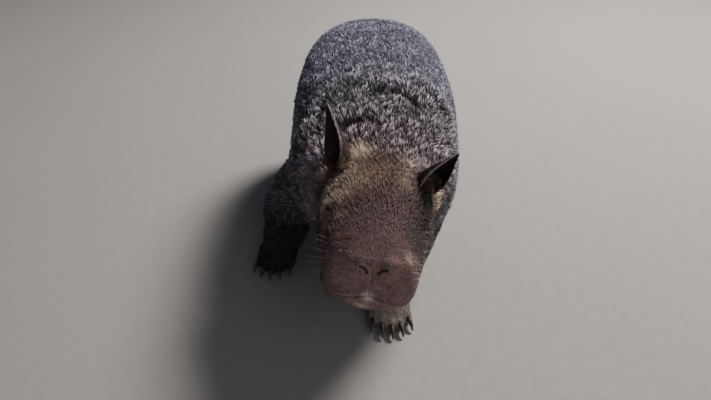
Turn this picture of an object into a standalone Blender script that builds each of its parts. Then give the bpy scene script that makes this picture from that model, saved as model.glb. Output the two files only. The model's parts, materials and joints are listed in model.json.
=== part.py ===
"""A southern hairy-nosed wombat, life size, standing with its head lowered, as a still model.

The solids give the outer surface of the short coat. The animal faces -Y, its left side is +X, and the
floor is z = 0. It is modelled whole in soft forms, and then parted into named pieces by thin cuts.
"""

import math

import bmesh
import bpy
from mathutils import Matrix, Vector
from mathutils.bvhtree import BVHTree

# Driving dimensions, in metres and degrees
BACK_HEIGHT = 0.332
BODY_HALF_WIDTH = 0.142
RUMP_Y = 0.360
TAIL_LENGTH = 0.022
HEAD_LENGTH = 0.208
HEAD_HALF_WIDTH = 0.077
HEAD_AT = Vector((0.000, -0.186, 0.239))
HEAD_YAW, HEAD_PITCH, HEAD_ROLL = -4.0, -1.0, 7.0
EAR_LENGTH = 0.082
EAR_HALF_WIDTH = 0.019
EAR_THICKNESS = 0.0034
# How far the tip of an ear bends back
EAR_BEND = 0.006
EYE_RADIUS = 0.0078
# How far the shoulder lies from the middle, and how much the elbow bulges out: the right foreleg is set wide
SHOULDER_OUT = {"left": 0.064, "right": 0.076}
ELBOW_OUT = {"left": 0.006, "right": 0.018}
CLAW_LENGTH = 0.024
# How much of each sole is cut flat, and the gap between neighbouring pieces
SOLE = 0.0004
GAP = 0.0003

# How finely the forms are made
VOXEL = 0.0028
RING = 32
STEPS = 4
BODY_TRIANGLES = 2100
FACE_TRIANGLES = 1700
PAW_TRIANGLES = 1500

COAT_GREY = (0.24, 0.21, 0.20)
COAT_BROWN = (0.22, 0.15, 0.11)
EAR_DARK = (0.10, 0.075, 0.065)
PAW_DARK = (0.11, 0.085, 0.075)
EYE_BLACK = (0.010, 0.008, 0.007)


def clear_scene():
    for obj in list(bpy.data.objects):
        bpy.data.objects.remove(obj, do_unlink=True)


def new_collection(name, shown=True):
    collection = bpy.data.collections.new(name)
    collection.hide_render = not shown
    bpy.context.scene.collection.children.link(collection)
    return collection


def material(name, colour, roughness):
    made = bpy.data.materials.new(name)
    made.use_nodes = True
    shader = made.node_tree.nodes["Principled BSDF"]
    shader.inputs["Base Color"].default_value = (*colour, 1.0)
    shader.inputs["Roughness"].default_value = roughness
    shader.inputs["Metallic"].default_value = 0.0
    return made


def object_from(bm, name, matrix=None):
    """A mesh object in the scene from bm, which is freed, with matrix applied to its points."""
    if matrix is not None:
        bmesh.ops.transform(bm, matrix=matrix, verts=bm.verts)
    bmesh.ops.recalc_face_normals(bm, faces=bm.faces)
    mesh = bpy.data.meshes.new(name)
    bm.to_mesh(mesh)
    bm.free()
    obj = bpy.data.objects.new(name, mesh)
    bpy.context.scene.collection.objects.link(obj)
    return obj


def bake(obj):
    """Applies every modifier of the object."""
    bpy.context.view_layer.update()
    graph = bpy.context.evaluated_depsgraph_get()
    mesh = bpy.data.meshes.new_from_object(obj.evaluated_get(graph))
    obj.modifiers.clear()
    obj.data = mesh


def remove(obj):
    bpy.data.objects.remove(obj, do_unlink=True)


def copy_of(obj, name):
    twin = bpy.data.objects.new(name, obj.data.copy())
    bpy.context.scene.collection.objects.link(twin)
    return twin


def through(rows, steps):
    """Rows of numbers on a smooth curve through the given rows, with this many steps between each two."""
    ends = [
        [2 * a - b for a, b in zip(rows[0], rows[1])],
        *rows,
        [2 * a - b for a, b in zip(rows[-1], rows[-2])],
    ]
    made = []
    for i in range(1, len(ends) - 2):
        for k in range(steps):
            t = k / steps
            weights = (
                (-t + 2 * t**2 - t**3) / 2,
                (2 - 5 * t**2 + 3 * t**3) / 2,
                (t + 4 * t**2 - 3 * t**3) / 2,
                (-(t**2) + t**3) / 2,
            )
            near = ends[i - 1 : i + 3]
            made.append([sum(w * row[c] for w, row in zip(weights, near)) for c in range(len(rows[0]))])
    made.append(list(rows[-1]))
    return made


def rounded(angle, squareness):
    """A point of a unit superellipse: squareness 2 is a circle, and more is boxier."""
    c, s = math.cos(angle), math.sin(angle)
    power = 2 / squareness
    return math.copysign(abs(c) ** power, c), math.copysign(abs(s) ** power, s)


def section(y, half_width, top, bottom, squareness, x=0.0):
    """A ring across Y. It is half_width to each side of x, and its widest line lies at its mid-height."""
    middle = (top + bottom) / 2
    ring = []
    for i in range(RING):
        across, up = rounded(2 * math.pi * i / RING, squareness)
        ring.append(Vector((x + half_width * across, y, middle + (top - middle) * up)))
    return ring


def loft(name, rings, matrix=None):
    """A closed skin through rings that have the same number of points."""
    bm = bmesh.new()
    loops = [[bm.verts.new(point) for point in ring] for ring in rings]
    for a, b in zip(loops, loops[1:]):
        for i in range(len(a)):
            j = (i + 1) % len(a)
            bm.faces.new((a[i], a[j], b[j], b[i]))
    bm.faces.new(loops[0])
    bm.faces.new(loops[-1])
    return object_from(bm, name, matrix)


def tube(name, rows, matrix=None, sides=RING, steps=STEPS, upright=Vector((0, 0, 1))):
    """A limb along a smooth path. Each row is x, y, z, half width and half depth at one joint."""
    rows = through(rows, steps)
    points = [Vector(row[:3]) for row in rows]
    rings = []
    for i, row in enumerate(rows):
        along = (points[min(i + 1, len(rows) - 1)] - points[max(i - 1, 0)]).normalized()
        across = along.cross(upright).normalized()
        deep = across.cross(along)
        ring = []
        for k in range(sides):
            turn = 2 * math.pi * k / sides
            ring.append(points[i] + across * (row[3] * math.cos(turn)) + deep * (row[4] * math.sin(turn)))
        rings.append(ring)
    return loft(name, rings, matrix)


def egg(name, centre, radii, matrix=None, segments=24):
    """An ellipsoid with its centre and three radii in the frame that matrix gives."""
    bm = bmesh.new()
    # A twist of its own keeps each egg's meridians off the edges of the others in the same frame.
    twist = Matrix.Rotation(math.radians(100 / segments), 4, "Z")
    shape = Matrix.Translation(Vector(centre)) @ Matrix.Diagonal((*radii, 1.0)) @ twist
    bmesh.ops.create_uvsphere(bm, u_segments=segments, v_segments=2 * segments // 3, radius=1.0, matrix=shape)
    return object_from(bm, name, matrix)


def turned(yaw=0.0, pitch=0.0, roll=0.0):
    """Roll about Y first, then pitch about X, then yaw about Z, in degrees."""
    turns = (("Z", yaw), ("X", pitch), ("Y", roll))
    made = Matrix.Identity(4)
    for axis, degrees in turns:
        made = made @ Matrix.Rotation(math.radians(degrees), 4, axis)
    return made


SIDES = {"left": 1, "right": -1}
HEAD = Matrix.Translation(HEAD_AT) @ turned(HEAD_YAW, HEAD_PITCH, HEAD_ROLL)
# Where each ear leaves the skull, in the head's frame. The left ear is carried lower than the right one.
EAR_ROOTS = {
    "left": Vector((0.0565, -0.0375, 0.029)),
    "right": Vector((-0.051, -0.035, 0.036)),
}
NECK_BASE = Matrix.Translation((0.0, -0.115, 0.235)) @ turned(0.0, -28.0, 0.0)


def body_forms():
    """The barrel from the rump to the base of the neck, with the shoulders, haunches, breast and tail."""
    w, h = BODY_HALF_WIDTH, BACK_HEIGHT
    # Each row is y, half width, top, bottom and squareness.
    barrel = [
        (RUMP_Y, 0.30 * w, 0.68 * h, 0.47 * h, 2.0),
        (RUMP_Y - 0.012, 0.56 * w, 0.79 * h, 0.39 * h, 2.1),
        (RUMP_Y - 0.045, 0.82 * w, 0.92 * h, 0.32 * h, 2.2),
        (RUMP_Y - 0.100, 0.95 * w, 0.99 * h, 0.25 * h, 2.3),
        (RUMP_Y - 0.190, 1.01 * w, 1.01 * h, 0.195 * h, 2.3),
        (RUMP_Y - 0.290, 1.02 * w, 1.00 * h, 0.175 * h, 2.3),
        (RUMP_Y - 0.380, 0.96 * w, 0.975 * h, 0.19 * h, 2.3),
        (RUMP_Y - 0.450, 0.90 * w, 0.945 * h, 0.22 * h, 2.2),
        (RUMP_Y - 0.510, 0.80 * w, 0.91 * h, 0.28 * h, 2.2),
        (RUMP_Y - 0.560, 0.62 * w, 0.86 * h, 0.40 * h, 2.1),
    ]
    forms = [loft("barrel", [section(*row) for row in through(barrel, STEPS)])]
    for name, side in SIDES.items():
        forms.append(egg("shoulder", (side * SHOULDER_OUT[name], -0.080, 0.192), (0.064, 0.090, 0.098)))
        forms.append(egg("haunch", (side * 0.084, 0.245, 0.160), (0.062, 0.104, 0.122)))
    forms.append(egg("breast", (0.0, -0.110, 0.152), (0.090, 0.082, 0.082)))
    tail = [
        (0.0, RUMP_Y - 0.035, 0.200, 0.022, 0.022),
        (0.0, RUMP_Y - 0.006, 0.182, 0.018, 0.017),
        (0.0, RUMP_Y + 0.6 * TAIL_LENGTH, 0.160, 0.012, 0.011),
        (0.0, RUMP_Y + TAIL_LENGTH, 0.146, 0.006, 0.006),
    ]
    forms.append(tube("tail", tail))
    return forms


def neck_forms():
    """The neck, from between the shoulders to the back of the skull, and the loose throat under it."""
    skull = HEAD @ Vector((0.0, -0.040, -0.006))
    shoulders = Vector((0.0, -0.050, 0.200))
    middle = shoulders.lerp(skull, 0.55)
    rows = [
        (*shoulders, 0.124, 0.100),
        (*middle, 0.118, 0.086),
        (*skull, 0.082, 0.060),
    ]
    throat = HEAD @ Vector((0.0, 0.005, -0.050))
    return [tube("neck", rows), egg("throat", throat, (0.084, 0.078, 0.054))]


def head_forms():
    """The broad flat skull, deep cheeks, jowls, blunt muzzle, chin and ear roots, in the head's own frame."""
    w, n = HEAD_HALF_WIDTH, HEAD_LENGTH
    # Each row is the distance from the nape towards the nose, half width, top, bottom and squareness.
    skull = [
        (-0.020, 0.66 * w, 0.032, -0.040, 2.0),
        (0.000, 0.82 * w, 0.043, -0.052, 2.1),
        (0.18 * n, 0.93 * w, 0.050, -0.062, 2.3),
        (0.36 * n, 0.96 * w, 0.050, -0.068, 2.4),
        (0.50 * n, 0.92 * w, 0.047, -0.068, 2.5),
        (0.64 * n, 0.84 * w, 0.042, -0.067, 2.6),
        (0.78 * n, 0.79 * w, 0.037, -0.066, 2.7),
        (0.90 * n, 0.72 * w, 0.030, -0.064, 2.8),
        (0.97 * n, 0.62 * w, 0.022, -0.058, 2.6),
        (1.00 * n, 0.44 * w, 0.010, -0.046, 2.4),
    ]
    rings = [section(-row[0], *row[1:]) for row in through(skull, STEPS)]
    forms = [loft("skull", rings, HEAD)]
    for name, side in SIDES.items():
        forms.append(egg("cheek", (side * 0.041, -0.40 * n, -0.026), (0.036, 0.060, 0.042), HEAD))
        forms.append(egg("brow", (side * 0.048, -0.53 * n, 0.022), (0.015, 0.030, 0.014), HEAD))
        forms.append(egg("whisker_pad", (side * 0.031, -0.87 * n, -0.022), (0.027, 0.028, 0.024), HEAD))
        forms.append(egg("jowl", (side * 0.035, -0.72 * n, -0.047), (0.026, 0.050, 0.023), HEAD))
        forms.append(egg("nostril_wing", (side * 0.016, -0.955 * n, 0.008), (0.018, 0.014, 0.015), HEAD))
        forms.append(egg("ear_root", (0.0, 0.006, -0.010), (0.021, 0.021, 0.019), EARS[name]))
    forms.append(egg("chin", (0.0, -0.79 * n, -0.057), (0.037, 0.036, 0.016), HEAD))
    return forms


# Where each paw stands on the floor, in its own frame: toes towards -Y, wrist or ankle above its origin
FORE_LEFT = Matrix.Translation((0.018, -0.180, 0.0)) @ turned(yaw=4)
FORE_RIGHT = Matrix.Translation((-0.166, -0.045, 0.0)) @ turned(yaw=-8)
HIND_LEFT = Matrix.Translation((0.108, 0.250, 0.0)) @ turned(yaw=9)
HIND_RIGHT = Matrix.Translation((-0.108, 0.175, 0.0)) @ turned(yaw=-9)
FORE_PAWS = {"left": FORE_LEFT, "right": FORE_RIGHT}
HIND_PAWS = {"left": HIND_LEFT, "right": HIND_RIGHT}


def foreleg_rows(name):
    """The joints of the upper arm and forearm, from the shoulder to the wrist."""
    side, paw = SIDES[name], FORE_PAWS[name]
    wrist = paw @ Vector((0.0, 0.004, 0.030))
    top = Vector((side * (SHOULDER_OUT[name] + 0.014), -0.074, 0.182))
    elbow = top.lerp(wrist, 0.45) + Vector((side * ELBOW_OUT[name], 0.020, -0.006))
    low = top.lerp(wrist, 0.78) + Vector((side * 0.002, 0.004, 0.0))
    return [
        (*(top + 0.30 * (top - elbow)), 0.026, 0.034),
        (*top, 0.052, 0.066),
        (*elbow, 0.048, 0.056),
        (*low, 0.040, 0.044),
        (*wrist, 0.034, 0.036),
        (*(wrist - 0.10 * (low - wrist)), 0.022, 0.022),
    ]


def hindleg_rows(name):
    """The joints of the thigh and the short shank, from the haunch to the ankle."""
    side, paw = SIDES[name], HIND_PAWS[name]
    ankle = paw @ Vector((0.0, 0.020, 0.030))
    hip = Vector((side * 0.090, 0.235, 0.170))
    knee = hip.lerp(ankle, 0.45) + Vector((side * 0.014, -0.034, 0.0))
    low = hip.lerp(ankle, 0.80) + Vector((side * 0.004, -0.008, 0.0))
    return [
        (*(hip + 0.30 * (hip - knee)), 0.026, 0.042),
        (*hip, 0.054, 0.086),
        (*knee, 0.053, 0.074),
        (*low, 0.042, 0.052),
        (*ankle, 0.035, 0.038),
        (*(ankle - 0.10 * (low - ankle)), 0.020, 0.022),
    ]


TOES = 5
FORE_REACH, HIND_REACH = 0.046, 0.072
TOE_SPACING = 0.0127
TOE_HEIGHT = 0.0105
FORE_PALM = ((0.0, -0.010, 0.016), (0.035, 0.040, 0.024))
HIND_SOLE = ((0.0, -0.020, 0.015), (0.033, 0.060, 0.023))


def toe_frames(reach, side, paw):
    """A frame at each toe's root, from the inner toe outwards, toes towards -Y."""
    frames = []
    for i in range(TOES):
        out = i - (TOES - 1) / 2
        bow = 1 - 0.085 * out * out
        root = Vector((side * out * TOE_SPACING, -reach * bow, TOE_HEIGHT))
        frames.append(paw @ Matrix.Translation(root) @ turned(yaw=5.5 * out * side))
    return frames


def paw_forms(palm, reach, side, paw):
    """A broad pad with its toes, which end just behind the claws."""
    forms = [egg("palm", *palm, paw)]
    for frame in toe_frames(reach, side, paw):
        forms.append(egg("toe", (0.0, 0.004, 0.0), (0.0090, 0.021, 0.0120), frame))
    return forms


def claw(frame, length):
    """A digging claw: deep, narrow, curved down and blunt at the tip."""
    rows = [
        (0.0, 0.000, 0.0005, 0.0044, 0.0056),
        (0.0, -0.40 * length, 0.0022, 0.0038, 0.0048),
        (0.0, -0.75 * length, -0.0006, 0.0027, 0.0034),
        (0.0, -1.00 * length, -0.0060, 0.0010, 0.0013),
    ]
    return tube("claw", rows, frame @ Matrix.Translation((0.0, -0.008, 0.0)), sides=6, steps=1)


def claws():
    """Five claws on each forepaw, and four on each hind paw, whose inner toe is bare."""
    made = []
    for name, side in SIDES.items():
        fore_toes = toe_frames(FORE_REACH, side, FORE_PAWS[name])
        hind_toes = toe_frames(HIND_REACH, side, HIND_PAWS[name])
        made += [claw(frame, CLAW_LENGTH) for frame in fore_toes]
        made += [claw(frame, 0.9 * CLAW_LENGTH) for frame in hind_toes[1:]]
    return made


def aimed(at, direction, facing):
    """A frame at a point, with +Z along direction and -Y as near to facing as that allows."""
    up = Vector(direction).normalized()
    across = up.cross(Vector(facing)).normalized()
    turn = Matrix((across, up.cross(across), up)).transposed().to_4x4()
    return Matrix.Translation(at) @ turn


# Each ear's frame in the head's own: the left one leans out and forward, and the right one stands up
EARS = {
    "left": HEAD @ aimed(EAR_ROOTS["left"], (0.37, -0.515, 0.773), (0.30, -0.85, -0.45)),
    "right": HEAD @ aimed(EAR_ROOTS["right"], (-0.42, 0.16, 0.89), (-0.70, -0.70, 0.0)),
}
# How far up the ear the cut between its blade and the head lies
EAR_CUT = 0.024


def ear_form(frame):
    """A long pointed ear, a cup that is open towards its frame's -Y and closes round at the root."""
    # Each row is the height, half width and depth as shares, and how far the cup wraps round, in degrees.
    profile = [
        (0.00, 0.90, 0.90, 138),
        (0.16, 1.02, 0.94, 126),
        (0.32, 0.99, 0.85, 108),
        (0.50, 0.83, 0.66, 96),
        (0.67, 0.61, 0.47, 88),
        (0.83, 0.37, 0.30, 84),
        (0.94, 0.19, 0.16, 80),
        (1.00, 0.08, 0.08, 76),
    ]
    turns = 7
    rings = []
    for height, wide, deep, wrap in profile:
        wall = EAR_THICKNESS * (1.1 - 0.6 * height)
        half_width = max(wide * EAR_HALF_WIDTH, 0.0016)
        depth = max(deep * EAR_HALF_WIDTH, 0.0014)
        bend = EAR_BEND * height**2
        outer, inner = [], []
        for i in range(turns):
            turn = math.radians(wrap) * (2 * i / (turns - 1) - 1)
            for ring, thinner in ((outer, 0.0), (inner, wall)):
                x = max(half_width - thinner, 0.25 * half_width) * math.sin(turn)
                y = max(depth - thinner, 0.25 * depth) * math.cos(turn)
                ring.append(Vector((x, y - 0.35 * depth + bend, height * EAR_LENGTH)))
        rings.append(outer + inner[::-1])
    return loft("ear", rings, frame)


def weigh(obj, name, weight_at):
    group = obj.vertex_groups.new(name=name)
    for vertex in obj.data.vertices:
        group.add([vertex.index], weight_at(vertex.co), "REPLACE")


def keep_largest(obj):
    """Keeps the object's largest closed surface and drops any scrap or sealed hollow."""
    bm = bmesh.new()
    bm.from_mesh(obj.data)
    left = set(bm.verts)
    islands = []
    while left:
        ahead = [left.pop()]
        island = set(ahead)
        while ahead:
            for edge in ahead.pop().link_edges:
                for vertex in edge.verts:
                    if vertex not in island:
                        island.add(vertex)
                        ahead.append(vertex)
        left -= island
        islands.append(island)
    islands.sort(key=len)
    for island in islands[:-1]:
        bmesh.ops.delete(bm, geom=list(island), context="VERTS")
    bm.to_mesh(obj.data)
    bm.free()


IN_HEAD = HEAD.inverted()


def clamped(value):
    return min(1.0, max(0.0, value))


def softness(point):
    """How much the fused forms are smoothed here: fully on the body, little on the paws and the face."""
    forward = -(IN_HEAD @ point).y / HEAD_LENGTH
    return 1.0 - 0.90 * max(clamped((forward - 0.15) / 0.35), clamped((0.060 - point.z) / 0.040))


def is_face(point):
    place = IN_HEAD @ point
    return place.y < 0.0 and place.z > -0.085


def is_paw(point):
    return point.z < 0.042


def is_body(point):
    return not is_face(point) and not is_paw(point)


def thin(obj, is_here, triangles):
    """Thins the mesh to about this many triangles where is_here holds, and leaves the rest as it is."""
    weigh(obj, "here", lambda point: float(is_here(point)))
    here = [is_here(vertex.co) for vertex in obj.data.vertices]
    count = sum(all(here[i] for i in face.vertices) for face in obj.data.polygons)
    thinner = obj.modifiers.new("Thin", "DECIMATE")
    thinner.ratio = 1 - (count - triangles) / len(obj.data.polygons)
    thinner.vertex_group = "here"
    bake(obj)
    obj.vertex_groups.clear()


def fuse(pieces):
    """All the soft forms as one smooth closed skin."""
    joined = bmesh.new()
    for piece in pieces:
        joined.from_mesh(piece.data)
        remove(piece)
    hide = object_from(joined, "hide")
    remesh = hide.modifiers.new("Fuse", "REMESH")
    remesh.mode = "VOXEL"
    remesh.voxel_size = VOXEL
    bake(hide)
    keep_largest(hide)
    weigh(hide, "soft", softness)
    smooth = hide.modifiers.new("Soften", "SMOOTH")
    smooth.factor = 0.5
    smooth.iterations = 70
    smooth.vertex_group = "soft"
    hide.modifiers.new("Split", "TRIANGULATE")
    bake(hide)
    hide.vertex_groups.clear()
    thin(hide, is_body, BODY_TRIANGLES)
    thin(hide, is_face, FACE_TRIANGLES)
    thin(hide, is_paw, PAW_TRIANGLES)
    return hide


def combine(obj, others, operation):
    """Cuts or joins obj with the other meshes, or keeps what they share, and removes them."""
    tools = new_collection("tools", shown=False)
    for other in others:
        for home in list(other.users_collection):
            home.objects.unlink(other)
        tools.objects.link(other)
    boolean = obj.modifiers.new("Combine", "BOOLEAN")
    boolean.operation = operation
    boolean.solver = "EXACT"
    boolean.operand_type = "COLLECTION"
    boolean.collection = tools
    bake(obj)
    for other in others:
        remove(other)
    bpy.data.collections.remove(tools)


def on_skin(tree, origin, direction):
    """Where a ray from inside the head meets its skin, in the head's frame, and the outward normal there."""
    start = HEAD @ Vector(origin)
    way = HEAD.to_3x3() @ Vector(direction)
    place, normal, _, _ = tree.ray_cast(start, way)
    back = HEAD.inverted()
    return back @ place, (back.to_3x3() @ normal).normalized()


def groove(name, points, radius, upright):
    """A round cutter along points of the head's skin, as wide across as twice the radius."""
    rows = [(*point, radius, radius) for point in points]
    return tube(name, rows, HEAD, sides=6, steps=1, upright=Vector(upright))


def mouth_line(tree):
    """The line between the lips, from one corner round the muzzle to the other, highest at the middle."""
    points = []
    for i in range(-7, 8):
        turn = math.radians(10.7 * i)
        height = -0.034 - 0.009 * min(1.0, abs(i) / 3) + 0.010 * max(0.0, abs(i) - 4) / 3
        start = (0.0, -0.72 * HEAD_LENGTH, height)
        points.append(on_skin(tree, start, (math.sin(turn), -math.cos(turn), 0.0))[0])
    return groove("mouth", points, 0.0016, (0, 0, 1))


def lip_split(tree):
    """The groove down the middle of the upper lip, from between the nostrils to the mouth."""
    points = []
    for i in range(5):
        height = 0.003 - 0.0375 * i / 4
        points.append(on_skin(tree, (0.0, -0.75 * HEAD_LENGTH, height), (0.0, -1.0, 0.0))[0])
    return groove("split", points, 0.0012, (0, -1, 0))


def nostril(tree, side):
    """A comma-shaped opening that curls up and out round the wing of the nose."""
    points = []
    for x, z in ((0.0075, -0.004), (0.0090, 0.002), (0.0135, 0.008), (0.019, 0.009)):
        points.append(on_skin(tree, (side * x, -0.75 * HEAD_LENGTH, z), (0.0, -1.0, 0.0))[0])
    return groove("nostril", points, 0.0032, (0, -1, 0))


def eye_frame(tree, side):
    """A frame at the eyeball's centre, with +Z out of the head."""
    skin, out = on_skin(tree, (0.0, -0.58 * HEAD_LENGTH, 0.006), (side * 0.94, 0.0, 0.20))
    forward = Vector((0.0, -1.0, 0.0))
    out = (out + 0.25 * forward + 0.15 * Vector((0, 0, 1))).normalized()
    centre = skin - 0.62 * EYE_RADIUS * out
    return HEAD @ aimed(centre, out, forward)


def lids(frame):
    """The rim of the upper and lower lids, an almond-shaped ring that lies on the eyeball."""
    ring, sides = 16, 6
    long, tall, thick = 1.22 * EYE_RADIUS, 0.86 * EYE_RADIUS, 0.0026
    bm = bmesh.new()
    rows = []
    for i in range(ring):
        turn = 2 * math.pi * i / ring
        height = 0.50 + 0.12 * math.sin(turn) ** 2
        middle = Vector((tall * math.sin(turn), long * math.cos(turn), height * EYE_RADIUS))
        outward = Vector((math.sin(turn), math.cos(turn), 0.0))
        row = []
        for k in range(sides):
            bend = 2 * math.pi * k / sides
            up = Vector((0.0, 0.0, math.sin(bend)))
            row.append(bm.verts.new(middle + thick * (outward * math.cos(bend) + up)))
        rows.append(row)
    for i in range(ring):
        for k in range(sides):
            here, ahead = rows[i], rows[(i + 1) % ring]
            bm.faces.new((here[k], here[(k + 1) % sides], ahead[(k + 1) % sides], ahead[k]))
    return object_from(bm, "lids", frame)


def lid_opening(frame):
    """The almond-shaped space between the lids, from the front of the eyeball outwards."""
    r = EYE_RADIUS
    return egg("opening", (0.0, 0.0, 1.10 * r), (0.62 * r, 0.96 * r, 0.80 * r), frame, 12)


def ball(name, radius, frame):
    return egg(name, (0, 0, 0), (radius,) * 3, frame, 14)


def box(name, low, high, matrix=None):
    """A box between two corners in the frame that matrix gives."""
    bm = bmesh.new()
    low, high = Vector(low), Vector(high)
    place = Matrix.Translation((low + high) / 2) @ Matrix.Diagonal((*(high - low), 1.0))
    bmesh.ops.create_cube(bm, size=1.0, matrix=place)
    return object_from(bm, name, matrix)


def part_off(whole, name, region):
    """Parts the piece inside a region, which region(grow) makes, from the whole, with a thin gap between."""
    piece = copy_of(whole, name)
    combine(piece, [region(-GAP / 2)], "INTERSECT")
    combine(whole, [region(GAP / 2)], "DIFFERENCE")
    keep_largest(piece)
    return piece


def box_region(low, high, matrix=None):
    def region(grow):
        margin = Vector((grow,) * 3)
        return box("region", Vector(low) - margin, Vector(high) + margin, matrix)

    return region


# Each leg's box: how far it goes inwards, outwards, forwards and back, and its share of the way to the joint
LEG_CUTS = {
    "foreleg": (0.058, 0.12, 0.075, 0.075, 0.96),
    "hindleg": (0.060, 0.12, 0.10, 0.10, 1.05),
}


def limb_region(rows, side, inner, outer, front, back, reach):
    """A box along a leg, from under its foot up to a share of the way to its first joint."""
    top, foot = Vector(rows[1][:3]), Vector(rows[-2][:3])
    frame = aimed(foot, top - foot, (0.0, -1.0, 0.0))
    length = (top - foot).length
    across = sorted((-side * inner, side * outer))
    return box_region((across[0], -front, -0.4 * length), (across[1], back, reach * length), frame)


def paint(obj, look, home):
    obj.data.materials.clear()
    obj.data.materials.append(look)
    for collection in list(obj.users_collection):
        collection.objects.unlink(obj)
    home.objects.link(obj)
    obj.data.shade_smooth()
    obj.data.set_sharp_from_angle(angle=math.radians(50))


def centre_on_floor(objects):
    """Moves everything so that the soles are at z = 0 and the origin is under the middle seen from above."""
    low = [min(v.co[k] for o in objects for v in o.data.vertices) for k in range(3)]
    high = [max(v.co[k] for o in objects for v in o.data.vertices) for k in range(3)]
    move = Matrix.Translation((-(low[0] + high[0]) / 2, -(low[1] + high[1]) / 2, -low[2]))
    for obj in objects:
        obj.data.transform(move)
    print("moved by", [round(value, 5) for value in move.translation])


def main():
    clear_scene()
    forms = body_forms() + neck_forms() + head_forms()
    legs = {}
    for name, side in SIDES.items():
        legs["foreleg_" + name] = foreleg_rows(name)
        legs["hindleg_" + name] = hindleg_rows(name)
        forms += paw_forms(FORE_PALM, FORE_REACH, side, FORE_PAWS[name])
        forms += paw_forms(HIND_SOLE, HIND_REACH, side, HIND_PAWS[name])
    for rows in legs.values():
        forms.append(tube("leg", rows, upright=Vector((0, 1, 0))))
    whole = fuse(forms)

    tree = BVHTree.FromObject(whole, bpy.context.evaluated_depsgraph_get())
    eyes = {"left": eye_frame(tree, 1), "right": eye_frame(tree, -1)}
    cuts = [mouth_line(tree), lip_split(tree), nostril(tree, 1), nostril(tree, -1)]
    for frame in eyes.values():
        cuts += [lid_opening(frame), ball("socket", EYE_RADIUS + GAP, frame)]
    cuts.append(box("floor", (-1, -1, -1), (1, 1, SOLE)))
    added = [lids(frame) for frame in eyes.values()] + [ear_form(frame) for frame in EARS.values()] + claws()
    for piece in added:
        combine(whole, [piece], "UNION")
    for piece in cuts:
        combine(whole, [piece], "DIFFERENCE")
    keep_largest(whole)

    nodes = {}
    for name, frame in EARS.items():
        region = box_region((-0.021, -0.0215, EAR_CUT), (0.021, 0.020, 0.12), frame)
        nodes["ear_" + name] = part_off(whole, "ear_" + name, region)
    for name, paw in FORE_PAWS.items():
        region = box_region((-0.060, -0.110, -0.010), (0.060, 0.055, 0.040), paw)
        nodes["forepaw_" + name] = part_off(whole, "forepaw_" + name, region)
    for name, paw in HIND_PAWS.items():
        region = box_region((-0.060, -0.130, -0.010), (0.060, 0.075, 0.040), paw)
        nodes["hindpaw_" + name] = part_off(whole, "hindpaw_" + name, region)
    for name, rows in legs.items():
        limb, way = name.split("_")
        nodes[name] = part_off(whole, name, limb_region(rows, SIDES[way], *LEG_CUTS[limb]))
    nodes["head"] = part_off(whole, "head", box_region((-0.15, -0.30, -0.15), (0.15, -0.004, 0.15), HEAD))
    nodes["neck"] = part_off(whole, "neck", box_region((-0.20, -0.25, -0.30), (0.20, 0.0, 0.20), NECK_BASE))
    tail_region = box_region((-0.027, RUMP_Y - 0.005, 0.10), (0.027, RUMP_Y + 0.10, 0.212))
    nodes["tail"] = part_off(whole, "tail", tail_region)
    keep_largest(whole)
    whole.name = "torso"
    nodes["torso"] = whole
    for name, frame in eyes.items():
        nodes["eye_" + name] = ball("eye_" + name, EYE_RADIUS, frame)

    animal = new_collection("wombat")
    grey = material("coat_grey", COAT_GREY, 0.85)
    brown = material("coat_brown", COAT_BROWN, 0.85)
    dark = material("ear_dark", EAR_DARK, 0.80)
    paws = material("paw_dark", PAW_DARK, 0.75)
    black = material("eye_black", EYE_BLACK, 0.12)
    looks = {"head": brown, "ear": dark, "eye": black, "forepaw": paws, "hindpaw": paws}
    for name, obj in nodes.items():
        paint(obj, looks.get(name.split("_")[0], grey), animal)
    centre_on_floor(list(nodes.values()))


main()
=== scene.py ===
"""The looks of the southern hairy-nosed wombat: one skin, a coat of solid tufts, eyes, claws and whiskers.

The forms are those of the solids, made again more finely. The animal faces -Y, its left side is +X and the
floor is z = 0. Lengths are in metres and angles in degrees unless a comment says otherwise.
"""

import json
import math

import bmesh
import bpy
import numpy as np
from mathutils import Matrix, Vector
from mathutils.bvhtree import BVHTree
from mathutils.kdtree import KDTree

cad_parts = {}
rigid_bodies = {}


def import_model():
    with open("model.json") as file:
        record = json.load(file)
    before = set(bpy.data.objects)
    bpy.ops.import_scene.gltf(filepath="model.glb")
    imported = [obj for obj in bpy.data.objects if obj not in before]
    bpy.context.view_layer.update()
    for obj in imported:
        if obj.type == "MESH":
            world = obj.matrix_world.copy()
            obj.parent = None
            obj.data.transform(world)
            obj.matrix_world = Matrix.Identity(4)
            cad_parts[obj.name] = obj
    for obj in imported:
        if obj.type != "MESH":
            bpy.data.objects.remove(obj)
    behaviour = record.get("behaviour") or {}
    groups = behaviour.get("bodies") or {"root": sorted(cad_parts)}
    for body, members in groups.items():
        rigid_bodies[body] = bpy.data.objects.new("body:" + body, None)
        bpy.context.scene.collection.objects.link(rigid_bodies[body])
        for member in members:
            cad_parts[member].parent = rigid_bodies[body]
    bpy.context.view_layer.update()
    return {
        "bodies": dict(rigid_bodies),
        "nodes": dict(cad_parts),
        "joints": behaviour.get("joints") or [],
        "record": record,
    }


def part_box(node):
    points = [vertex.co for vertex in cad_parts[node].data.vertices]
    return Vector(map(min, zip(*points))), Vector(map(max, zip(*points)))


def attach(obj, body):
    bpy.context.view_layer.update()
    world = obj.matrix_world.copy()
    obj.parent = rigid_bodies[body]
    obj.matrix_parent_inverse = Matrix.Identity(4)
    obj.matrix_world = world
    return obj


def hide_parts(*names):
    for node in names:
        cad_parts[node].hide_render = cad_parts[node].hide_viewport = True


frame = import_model()
random = np.random.default_rng(7)

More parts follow.
